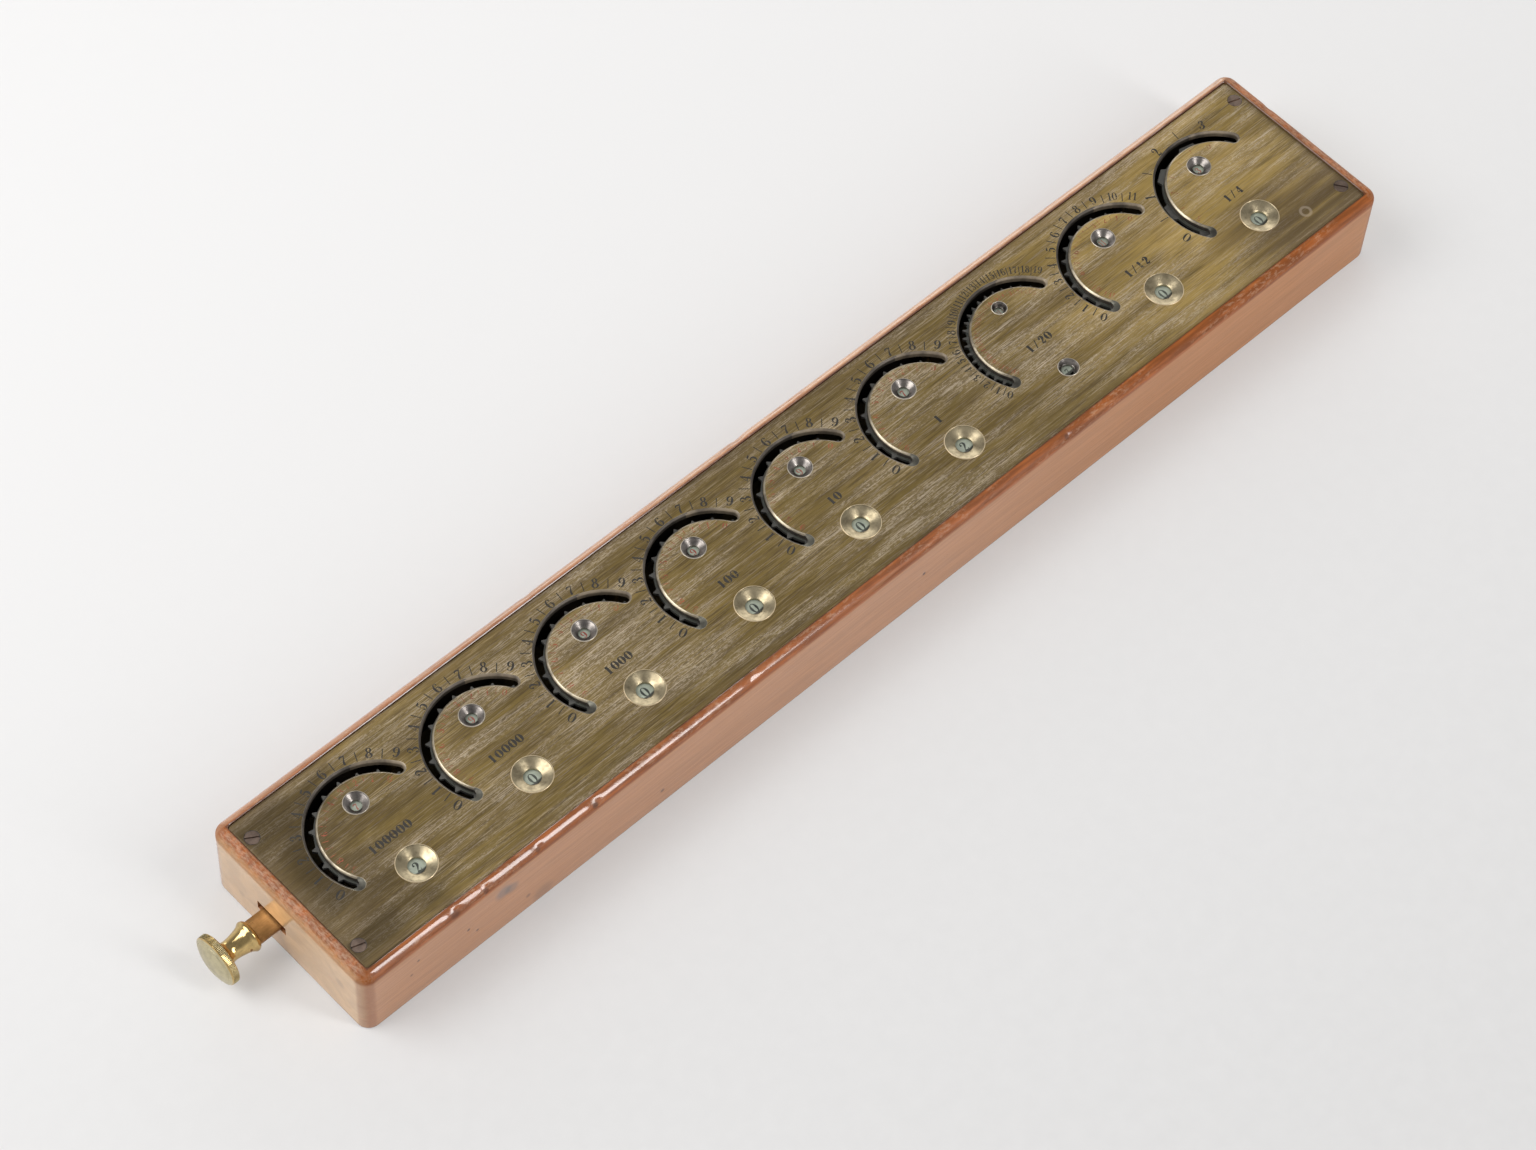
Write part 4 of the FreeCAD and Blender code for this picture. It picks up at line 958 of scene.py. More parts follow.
    def finish(self):
        scuffed = self.scuffs()
        thin = self.largest(scuffed, self.times(self.end_rim, self.step(self.drop, 4.0, 2.0)))
        under_rim = self.band(self.drop, 5.5, 3.0, 1.8, 1.0)
        near_right = self.times(self.step(self.x, -20.0, 130.0), self.step(self.y, -26.0, -29.5))
        unpolished = self.largest(self.inside, self.times(under_rim, 0.55), self.times(near_right, 0.7))
        ripples = self.bump(self.grain((40, 12, 9), detail=2, shift=71), 0.12)
        relief = self.minus(self.times(self.fine, 0.7), self.pores)
        return self.surface(
            Base_Color=self.worn(self.polished(), scuffed),
            Roughness=self.span(self.grain((14, 6, 6), shift=61), 0.3, 0.5),
            Normal=self.bump(relief, 0.03, Normal=ripples),
            Specular_IOR_Level=0.1,
            Coat_Weight=self.minus(self.span(thin, 1.0, 0.2), unpolished, clamp=True),
            Coat_Roughness=self.span(thin, 0.1, 0.4),
            Coat_IOR=self.span(self.step(self.drop, 2.6, 1.4), 1.5, 1.72),
        )


def aged_brass(t, settings):
    """Colour, roughness and relief of old brass that was rubbed lengthwise and went dull in patches."""
    brass, tarnish, residue = settings.brass, settings.tarnish, settings.residue
    streaks = t.grain((45, 0.9, 2.0), roughness=0.62)
    bands = t.grain((110, 4.0, 3.0), detail=3, shift=33)
    dark_lines = t.patches((11, 0.34, 1.0), 0.50, 0.38, detail=3, roughness=0.6, shift=5)
    pale_lines = t.grain((9.0, 0.26, 1.0), detail=3, roughness=0.65, shift=15)
    cloud = t.grain((60, 6.5, 10), roughness=0.6, shift=13)
    grit = t.grain((1.2, 0.34, 1.0), detail=3, roughness=0.65, shift=19)
    blotch = t.grain((30, 5, 5), roughness=0.6, shift=43)
    dirt = t.grain((14, 7, 5), shift=91)

    tone = t.mix(t.step(streaks, 0.25, 0.72), shade(brass, 0.72), brass)
    stayed_bright = t.times(
        t.band(t.x, 60.0, 135.0, 180.0, 206.0), t.span(t.step(blotch, 0.38, 0.6), 1.0, 0.55)
    )
    tone = t.over(tone, settings.golden, stayed_bright)
    tone = t.over(tone, tarnish, t.step(bands, 0.50, 0.64), 0.3)
    tone = t.over(tone, tarnish, t.step(blotch, 0.50, 0.70), 0.3)
    tone = t.over(tone, tarnish, dark_lines, t.span(stayed_bright, 0.75, 0.3))

    worn = t.step(cloud, 0.42, 0.64)
    worn_lines = t.times(t.step(pale_lines, 0.53, 0.64), t.span(worn, 0.2, 0.75))
    worn_grit = t.times(t.step(grit, 0.50, 0.64), worn, 0.5)
    tone = t.over(tone, residue, worn, 0.1)
    tone = t.over(tone, residue, t.largest(worn_lines, worn_grit))

    edge = t.step(t.plus(t.past_plate(), t.times(dirt, 4.0)), -1.5, 2.0)
    left = t.step(t.minus(t.x, t.times(dirt, 40.0)), -178.0, -208.0)
    near_right = t.times(t.step(t.x, 140.0, 172.0), t.step(t.y, 1.0, -12.0))
    tone = t.over(tone, tarnish, edge, 0.4)
    tone = t.over(tone, shade(tarnish, 0.55), left, 0.75)
    # darker brown towards the plate's front right corner, in bands
    tone = t.over(tone, shade(tarnish, 1.15), near_right, t.span(t.step(bands, 0.36, 0.6), 0.25, 0.8))

    roughness = t.span(t.times(streaks, t.span(cloud, 0.6, 1.2)), 0.38, 0.62)
    relief = t.minus(pale_lines, t.times(t.step(grit, 0.62, 0.75), 0.5))
    return tone, roughness, relief


def plate_brass(settings):
    """Aged brass with one round mark, near the farthings dial."""
    t = Finish("aged face plate brass")
    tone, roughness, relief = aged_brass(t, settings)
    farthings = dial_centre("farthings")
    mark = Vector((farthings.x + 11.8, farthings.y - 24.1, PLATE_HIGH.z))
    tone = t.over(tone, settings.residue, t.band(t.distance(mark), 1.0, 1.4, 1.8, 2.3), 0.3)
    return t.surface(
        Base_Color=tone, Roughness=roughness, Metallic=0.82, Normal=t.bump(relief, 0.012)
    )


def filling(name, wax, brass_settings, wear):
    """Coloured wax in the engraving, rubbed away in places down to the brass."""
    t = Finish(name)
    brass, roughness, _ = aged_brass(t, brass_settings)
    rubbed = t.patches((2.4, 0.7, 1.0), wear, wear + 0.16, roughness=0.65, shift=31)
    tone = t.mix(t.patches((3, 3, 3), 0.3, 0.7, detail=3, shift=37), wax, shade(wax, 1.7))
    return t.surface(
        Base_Color=t.over(tone, brass, rubbed),
        Roughness=t.plus(roughness, 0.1),
        Metallic=t.times(rubbed, 0.8),
    )


def turned_brass(name, bright, dull, low_roughness, high_roughness, ring_depth=0.006):
    """Brass from the lathe: fine rings about the turned axis, whose distance is kept on each point."""
    t = Finish(name)
    radius = t.add("ShaderNodeAttribute", attribute_name="turning", output="Fac")
    rings = t.add(
        "ShaderNodeTexNoise",
        {"W": radius, "Scale": 9.0, "Detail": 3.0, "Roughness": 0.7},
        noise_dimensions="1D",
    )
    cloud = t.grain((2.2, 2.2, 2.2), roughness=0.65, shift=3)
    tone = t.mix(t.step(cloud, 0.35, 0.75), bright, dull)
    tone = t.over(tone, dull, t.step(rings, 0.55, 0.75), 0.25)
    roughness = t.span(t.times(cloud, t.span(rings, 0.7, 1.3)), low_roughness, high_roughness)
    return t.surface(
        Base_Color=tone, Roughness=roughness, Metallic=1.0, Normal=t.bump(rings, ring_depth)
    )


def plain_metal(name, bright, dull, stretch, low_roughness, high_roughness, metallic=1.0):
    """Machined or drawn metal with marks that run one way and a little dirt."""
    t = Finish(name)
    lines = t.grain(stretch, roughness=0.6)
    cloud = t.grain((6, 6, 6), roughness=0.6, shift=9)
    tone = t.mix(t.step(cloud, 0.35, 0.7), bright, dull)
    tone = t.over(tone, dull, t.step(lines, 0.55, 0.75), 0.4)
    roughness = t.span(t.times(cloud, t.span(lines, 0.7, 1.3)), low_roughness, high_roughness)
    return t.surface(
        Base_Color=tone, Roughness=roughness, Metallic=metallic, Normal=t.bump(lines, 0.004)
    )


def stock_metal(name):
    return plain_metal(name, *METALS[name])


def bar_brass(brass):
    """Browned brass, with painted shade that makes it dark where the bar lies inside the case."""
    t = Finish("browned bar brass")
    lines = t.grain((30, 0.35, 0.35), roughness=0.6)
    cloud = t.grain((6, 4, 4), roughness=0.6, shift=9)
    tone = t.mix(t.step(cloud, 0.35, 0.7), brass, shade(brass, 0.55))
    tone = t.over(tone, shade(brass, 0.45), t.step(lines, 0.5, 0.75), 0.4)
    # painted shade: near black where the bar lies inside the case
    tone = t.over(tone, (0.03, 0.02, 0.013), t.step(t.x, CASE_LOW.x + 6.0, CASE_LOW.x + 11.0))
    return t.surface(
        Base_Color=tone, Roughness=t.span(cloud, 0.2, 0.42), Metallic=1.0, Normal=t.bump(lines, 0.01)
    )


def wheel_face(settings):
    """Silvered face of a number wheel, gone greenish, and black with painted shade where the slots bare
    it.
    """
    t = Finish("silvered number wheel")
    cloud = t.grain((3, 3, 3), detail=5, roughness=0.65)
    tone = t.mix(t.step(cloud, 0.3, 0.7), shade(settings.face, 0.72), settings.face)
    spots = t.patches((0.6, 0.6, 0.6), 0.66, 0.76, detail=2, shift=5)
    tone = t.over(tone, (0.2, 0.2, 0.15), spots, 0.5)
    first, second = (dial_centre(name) for name, *_ in DIALS[:2])
    across = t.math("PINGPONG", t.minus(t.x, first.x), (second.x - first.x) / 2)
    along = t.minus(t.y, first.y)
    radius = t.vector_math("LENGTH", t.vector(across, along), output="Value")
    # painted shade: the face darkens past the face radius, by the teeth
    grime = t.step(radius, settings.face_radius - 0.1, settings.face_radius + 0.35)
    tone = t.over(tone, settings.grime, grime, 0.9)
    return t.surface(
        Base_Color=tone,
        Roughness=t.span(cloud, 0.35, 0.6),
        Metallic=0.35,
        Normal=t.bump(t.grain((0.5, 0.5, 0.5), detail=3, shift=8), 0.006),
    )


def floor_paper(colour_here):
    """Pale paper, with painted shade that darkens it towards the front left.

    A third of its brightness, where it is seen straight, mirrored or through glass, is its own light,
    which keeps the shadows on it soft.
    """
    t = Finish("pale floor paper")
    away = t.vector_math("DOT_PRODUCT", t.place, (0.207, 0.979, 0.0), output="Value")
    # painted shade: darker towards the front left, where the light falls off
    tone = t.mix(t.step(away, -440.0, 370.0), shade(colour_here, 0.74), colour_here)
    tone = t.over(tone, shade(colour_here, 0.96), t.span(t.grain((6, 6, 6), detail=3), 0.0, 0.3))
    ray = t.add("ShaderNodeLightPath").node
    seen = t.plus(ray.outputs["Is Camera Ray"], ray.outputs["Is Glossy Ray"])
    seen = t.plus(seen, ray.outputs["Is Transmission Ray"], clamp=True)
    lift = t.times(seen, 0.35)
    return t.surface(
        Base_Color=t.mix(lift, tone, (0.0, 0.0, 0.0)),
        Roughness=0.75,
        Specular_IOR_Level=0.2,
        Emission_Color=tone,
        Emission_Strength=lift,
    )


# ---------------------------------------------------------------- operators


class MACHINE_OT_case(bpy.types.Operator):
    """Hollow wooden case with a rounded rim, a rebate for the plate and a slot for the pull bar"""

    bl_idname = "machine.case"
    bl_label = "Wooden case"

    HALF_X = (CASE_HIGH.x - CASE_LOW.x) / 2
    HALF_Y = (CASE_HIGH.y - CASE_LOW.y) / 2
    # how far the inner edge of the rim is worn off
    WORN = 0.18
    LEAST_CORNER = 0.8
    # how close the waves of the uneven surface are, broad and fine, and how deep the fine ones are
    BROAD_WAVES, FINE_WAVES = 0.045, 0.35
    FINE_DEPTH = 0.02
    # across and upwards, and how far the cutter reaches past the end wall and into the case
    BAR_SLOT_LOW = (1.0, 10.3)
    BAR_SLOT_HIGH = (13.0, 14.1)
    BAR_SLOT_OVERRUN = 2
    BAR_SLOT_REACH = 12
    SCREW_HOLE_BOTTOM = 14.9
    SCREW_HOLE_TOP = 28.0
    SCREW_HOLE_GAP = 0.05
    SCREW_HOLE_STEPS = 20

    def execute(self, context):
        settings = context.scene.machine_case
        bm = bmesh.new()
        skin = self.skin_levels(settings)
        rings = tube(
            bm,
            [
                rounded_ring(*level, self.HALF_X, self.HALF_Y, settings.skin_step)
                for level in (*skin, *self.hollow_levels(settings))
            ],
        )
        bm.faces.new(rings[0][::-1])
        bm.faces.new(rings[-1])
        self.age(bm, rings[: len(skin)], settings.unevenness)
        bm = carved(bm, self.cutters())
        material = Wood(settings).finish()
        show("polished_case", bm, [material], "case", "polished_wood", "wooden_case", sharp=28.0)
        return {"FINISHED"}

    def skin_levels(self, settings):
        """Half sizes, corner radius and height of the outer surface's rings, from the bottom up."""
        top, foot, rim = CASE_HIGH.z, settings.foot_radius, settings.rim_radius
        straight = top - rim - foot
        rows = round(straight / settings.skin_step)
        levels = [(foot * (1 - math.sin(a)), foot * (1 - math.cos(a))) for a in quarter(4)]
        levels += [(0.0, foot + straight * row / rows) for row in range(1, rows)]
        levels += [(rim * (1 - math.cos(a)), top - rim + rim * math.sin(a)) for a in quarter(10)]
        return [
            (
                self.HALF_X - inset,
                self.HALF_Y - inset,
                max(settings.corner_radius - inset, self.LEAST_CORNER),
                z,
            )
            for inset, z in levels
        ]

    def hollow_levels(self, settings):
        """The same of the rebate for the face plate and the cavity, from the top down."""
        top, worn = CASE_HIGH.z, self.WORN
        plate_x = (PLATE_HIGH.x - PLATE_LOW.x) / 2 + settings.plate_gap
        plate_y = (PLATE_HIGH.y - PLATE_LOW.y) / 2 + settings.plate_gap
        corner = PLATE_CORNER + settings.plate_gap
        cavity_x, cavity_y = self.HALF_X - settings.end_wall, self.HALF_Y - settings.side_wall
        cavity = (cavity_x, cavity_y, settings.cavity_radius)
        return [
            (plate_x + worn, plate_y + worn, corner + worn, top),
            (plate_x, plate_y, corner, top - worn),
            (plate_x, plate_y, corner, PLATE_LOW.z),
            (*cavity, PLATE_LOW.z),
            (*cavity, settings.floor),
        ]

    def age(self, bm, skin, unevenness):
        """Lets the outer surface dip a little, but for its underside, and presses the dents in."""
        bm.normal_update()
        for vert in (vert for ring in skin for vert in ring if vert.co.z > 0.01):
            dip = unevenness * (0.5 + 0.5 * noise.noise(vert.co * self.BROAD_WAVES))
            dip += self.FINE_DEPTH * (0.5 + 0.5 * noise.noise(vert.co * self.FINE_WAVES))
            for spot, radius, depth in DENTS:
                distance = (vert.co - Vector(spot)).length / radius
                if distance < 2:
                    dip += depth * math.exp(-2 * distance * distance)
            vert.co -= vert.normal * dip

    def cutters(self):
        """The slot of the pull bar, in the left end wall, and the holes of the corner screws."""
        slot = block(
            (CASE_LOW.x - self.BAR_SLOT_OVERRUN, *self.BAR_SLOT_LOW),
            (CASE_LOW.x + self.BAR_SLOT_REACH, *self.BAR_SLOT_HIGH),
        )
        bottom, top = self.SCREW_HOLE_BOTTOM, self.SCREW_HOLE_TOP
        shank = bpy.context.scene.machine_screws.shank_radius + self.SCREW_HOLE_GAP
        holes = []
        for place in screw_places():
            profile = [(0, bottom), (shank, bottom), (shank, top), (0, top)]
            hole = turned(profile, self.SCREW_HOLE_STEPS)
            bmesh.ops.translate(hole, vec=place, verts=hole.verts)
            holes.append(hole)
        return [slot, *holes]


class MACHINE_OT_plate(bpy.types.Operator):
    """Brass face plate with bevelled stylus slots and turned windows"""

    bl_idname = "machine.plate"
    bl_label = "Face plate"

    # finishes after the plate's own, in the order of its materials
    (
        SLOT_WALL, SLOT_EDGE, BRIGHT_BOWL, GREY_BOWL,
        SLOT_STOP, BRIGHT_BEAD, GREY_BEAD, RUBBED_WALL,
    ) = range(1, 9)
    # how far the outer edge is rubbed off
    WORN = 0.14
    EDGE_STEP = 8.0
    SLOT_STEPS = 80
    SLOT_END_STEPS = 14
    # how far before its stop a slot is bruised, in radians, and how many of its bands are the bevel
    BRUISED = 0.06
    SLOT_BEVEL_BANDS = 4
    WINDOW_STEPS = 96
    SCREW_HOLE_STEPS = 40
    # out from a window's rim and up from the plate, from the outside inwards, and how many bands shine
    BEAD = ((0.05, 0.0), (0.0, 0.13), (-0.08, 0.2), (-0.2, 0.2), (-0.29, 0.11))
    BEAD_BANDS = 3
    CONE_STEPS = 6
    # above 1, the cone of a window gets steeper inwards
    CONE_POWER = 1.1
    # how far the lathe's rings in a window shift for each millimetre that its dial lies further on
    RING_SHIFT = 3

    def execute(self, context):
        settings = context.scene.machine_plate
        bm = bmesh.new()
        turning = bm.verts.layers.float.new("turning")
        openings = [self.outline(bm)]
        for name, *_ in DIALS:
            centre = dial_centre(name)
            openings.append(self.slot(bm, settings, centre))
            small = name == SMALL_WINDOW_DIAL
            for kind, side in (("window", -1), ("complement", 1)):
                openings.append(self.window(bm, settings, centre, turning, kind, side, small))
        openings += [self.screw_hole(bm, context.scene.machine_screws, place) for place in screw_places()]
        tops, lows = zip(*openings)
        fill(bm, tops, True)
        fill(bm, lows, False)
        bmesh.ops.recalc_face_normals(bm, faces=bm.faces)
        materials = [
            plate_brass(settings),
            stock_metal("tarnished slot wall"),
            stock_metal("rubbed slot edge"),
            turned_brass("polished window brass", (0.46, 0.385, 0.25), (0.23, 0.19, 0.12), 0.24, 0.42),
            turned_brass("grey window metal", (0.26, 0.235, 0.215), (0.11, 0.1, 0.095), 0.2, 0.42),
            stock_metal("bruised slot stop"),
            stock_metal("bright window bead"),
            stock_metal("grey window bead"),
            stock_metal("rubbed slot wall"),
        ]
        show("engraved_plate", bm, materials, "case", "plate_brass", "face_plate", sharp=26.0)
        return {"FINISHED"}

    def outline(self, bm):
        """The edge of the plate. Like those below, it gives its upper and its lower ring of points."""
        top, low, worn = PLATE_HIGH.z, PLATE_LOW.z, self.WORN
        half_x, half_y = (PLATE_HIGH.x - PLATE_LOW.x) / 2, (PLATE_HIGH.y - PLATE_LOW.y) / 2
        edge = (
            (0.0, PLATE_CORNER, low),
            (0.0, PLATE_CORNER, top - worn),
            (worn * 0.35, PLATE_CORNER - 0.05, top - worn * 0.3),
            (worn, PLATE_CORNER - worn, top),
        )
        lowest, *_, highest = tube(
            bm,
            [
                rounded_ring(half_x - inset, half_y - inset, corner, z, half_x, half_y, self.EDGE_STEP)
                for inset, corner, z in edge
            ],
        )
        return highest, lowest

    def slot(self, bm, settings, centre):
        rings = [
            ring_of(bm, self.slot_ring(settings, centre, settings.slot_width / 2 + extra, z, scoop))
            for extra, z, scoop in self.slot_profile(settings)
        ]
        for number, (upper, lower) in enumerate(zip(rings, rings[1:])):
            for face in bridge(bm, upper, lower, self.SLOT_EDGE):
                if number:
                    offset = face.calc_center_median() - centre
                    in_wall = number >= self.SLOT_BEVEL_BANDS
                    face.material_index = self.slot_finish(settings, offset, in_wall)
        return rings[0], rings[-1]

    def slot_finish(self, settings, offset, in_wall):
        """Worn bright on the inner bevel, grey at the stop, dark elsewhere but for the far end's wall."""
        angle = math.atan2(offset.y, offset.x) % (2 * math.pi)
        outside = offset.xy.length > settings.slot_radius
        if outside and angle < settings.rubbed_end:
            return self.RUBBED_WALL
        if in_wall:
            return self.SLOT_WALL
        if angle > settings.slot_end - self.BRUISED:
            return self.SLOT_STOP
        return self.SLOT_WALL if outside else self.SLOT_EDGE

    def slot_profile(self, settings):
        """Width beyond the through part, height and length of the scooped stop, from the top down."""
        top, low = PLATE_HIGH.z, PLATE_LOW.z
        lip, depth, scoop = settings.lip_width, settings.lip_depth, settings.stop_scoop
        return (
            (lip + 0.07, top, 0.0),
            (lip - 0.02, top - 0.03, 0.05),
            (lip * 0.55, top - depth * 0.45, scoop * 0.4),
            (0.12, top - depth * 0.88, scoop * 0.85),
            (0.02, top - depth - 0.1, scoop),
            (0.0, top - depth - 0.3, scoop),
            (0.0, low + 0.1, scoop),
            (0.05, low, scoop),
        )

    def slot_ring(self, settings, centre, half, z, scoop):
        """Points round a C-shaped slot with round ends, counter-clockwise, shortened at the stop."""
        start, radius = settings.slot_start, settings.slot_radius
        end = settings.slot_end - scoop / radius
        flat = Vector((centre.x, centre.y, 0))
        far_end, near_end = polar(flat, radius, end), polar(flat, radius, start)
        points = [
            *arc(flat, radius + half, start, end, self.SLOT_STEPS),
            *arc(far_end, half, end, end + math.pi, self.SLOT_END_STEPS)[1:-1],
            *arc(flat, radius - half, end, start, self.SLOT_STEPS),
            *arc(near_end, half, start + math.pi, start + 2 * math.pi, self.SLOT_END_STEPS)[1:-1],
        ]
        return [point + UP * z for point in points]

    def window(self, bm, settings, centre, turning, kind, side, small):
        """One window of a dial, with each point's place on the lathe kept in the attribute."""
        size = f"small_{kind}" if small else kind
        reach, rim, hole = (getattr(settings, f"{size}_{part}") for part in ("reach", "rim", "hole"))
        spot = Vector((centre.x, centre.y + side * reach, 0))
        rings = []
        for radius, z in self.window_profile(rim, hole):
            ring = ring_of(bm, circle(spot, radius, z, self.WINDOW_STEPS))
            for vert in ring:
                vert[turning] = radius + self.RING_SHIFT * centre.x
            rings.append(ring)
        bright = kind == "window" and not small
        bowl, bead = (self.BRIGHT_BOWL, self.BRIGHT_BEAD) if bright else (self.GREY_BOWL, self.GREY_BEAD)
        for number, (upper, lower) in enumerate(zip(rings, rings[1:])):
            bridge(bm, upper, lower, bead if number < self.BEAD_BANDS else bowl)
        return rings[0], rings[-1]

    def window_profile(self, rim, hole):
        """Radius and height of a window's bead, turned cone and hole, from the outside inwards."""
        top, low = PLATE_HIGH.z, PLATE_LOW.z
        outer, inner = rim - 0.32, hole + 0.1
        high, deep = top - 0.02, low + 0.75
        inwards = [part / self.CONE_STEPS for part in range(self.CONE_STEPS + 1)]
        bead = [(rim + out, top + rise) for out, rise in self.BEAD]
        cone = [
            (outer + (inner - outer) * part, high + (deep - high) * part**self.CONE_POWER)
            for part in inwards
        ]
        wall = [(hole, deep - 0.08), (hole, low + 0.05), (hole + 0.05, low)]
        return bead + cone + wall

    def screw_hole(self, bm, screws, place):
        top, low = PLATE_HIGH.z, PLATE_LOW.z
        profile = (
            (screws.head_radius + 0.12, top),
            (screws.head_radius + 0.05, top - 0.05),
            (screws.shank_radius + 0.05, top - screws.head_depth),
            (screws.shank_radius + 0.05, low),
        )
        outlines = [circle(place, radius, z, self.SCREW_HOLE_STEPS) for radius, z in profile]
        highest, *_, lowest = tube(bm, outlines, self.SLOT_WALL)
        return highest, lowest


class MACHINE_OT_figures(bpy.types.Operator):
    """Engraved scales of the dials, filled black and red, and the place labels"""

    bl_idname = "machine.figures"
    bl_label = "Scales and labels"

    DEPTH = 0.16
    # size of the figures on the scales that have more than ten places
    CROWDED = {20: 0.78, 12: 0.9}
    NARROW = 0.8
    # strokes of the black and the red figures and of the labels, as times the engraver's pattern
    BLACK_WEIGHT = 1.2
    RED_WEIGHT = 1.05
    LABEL_WEIGHT = 1.8
    LABEL_WIDTH = 1.1
    LABEL_TRACKING = 1.25
    # reach past the red figures' radius, length and width of the red scale's ticks
    RED_TICK = (0.2, 1.9, 0.17)
    # width of the ticks on the scale that has twenty places
    FINE_TICKS = {20: 0.8}

    def execute(self, context):
        settings = context.scene.machine_figures
        plate = context.scene.machine_plate
        black, red = bmesh.new(), bmesh.new()
        black_wax = filling("black engraving wax", settings.black, plate, wear=0.60)
        red_wax = filling("red engraving wax", settings.red, plate, wear=0.44)
        recipe = self.tick_recipe()
        for name, places, _, nought_degrees, label in DIALS:
            centre = dial_centre(name)
            centre.z = PLATE_HIGH.z + FIGURE_LIFT
            nought, step = math.radians(nought_degrees), scale_step(places) * settings.scale_stretch
            self.number_scales(black, red, settings, centre, places, nought, step)
            engrave_number(
                black,
                label,
                centre - Vector((0, settings.label_drop, 0)),
                settings.label_height,
                turn=0.0,
                depth=self.DEPTH,
                weight=self.LABEL_WEIGHT,
                narrow=self.LABEL_WIDTH,
                tracking=self.LABEL_TRACKING,
            )
            red_reach, red_length, red_width = self.RED_TICK
            for bm, wax, radius, tick_length, width in (
                (black, black_wax, settings.tick_radius, settings.tick_length, settings.tick_width),
                (red, red_wax, settings.inner_radius + red_reach, red_length, red_width),
            ):
                mesh = recipe.cook(
                    material=wax,
                    count=places - 1,
                    first_bearing=nought - step / 2,
                    turn=-step,
                    radius=radius,
                    tick_length=tick_length,
                    tick_width=width * self.FINE_TICKS.get(places, 1.0),
                    tick_depth=self.DEPTH,
                )
                take(bm, mesh, Matrix.Translation(centre - UP * self.DEPTH / 2))
        for kind, bm, wax in (("black", black, black_wax), ("red", red, red_wax)):
            bmesh.ops.recalc_face_normals(bm, faces=bm.faces)
            show(f"{kind}_scale_figures", bm, [wax], "case", "plate_brass")
        return {"FINISHED"}

    def number_scales(self, black, red, settings, centre, places, nought, step):
        """The black figures outside a slot, which count up to the right, and the red ones inside it."""
        size = self.CROWDED.get(places, 1.0)
        for place in range(places):
            angle = nought - place * step
            flare = settings.end_flare * (2 * place / (places - 1) - 1) ** 2
            outer_radius = settings.outer_radius + flare
            for bm, number, radius, height, weight in (
                (black, place, outer_radius, settings.outer_height, self.BLACK_WEIGHT),
                (red, places - 1 - place, settings.inner_radius, settings.inner_height, self.RED_WEIGHT),
            ):
                engrave_number(
                    bm,
                    str(number),
                    polar(centre, radius, angle),
                    height * size,
                    turn=angle - math.pi / 2,
                    depth=self.DEPTH,
                    weight=weight,
                    narrow=self.NARROW if number > 9 else 1.0,
                )

    def tick_recipe(self):
        t = Recipe("Scale ticks", "count", "first_bearing turn radius tick_length tick_width tick_depth")
        tick = t.add(
            "GeometryNodeMeshCube", {"Size": t.vector(t.tick_length, t.tick_width, t.tick_depth)}
        )
        t.end(t.on_circle(t.count, t.radius, t.first_bearing, t.turn, tick))
        return t


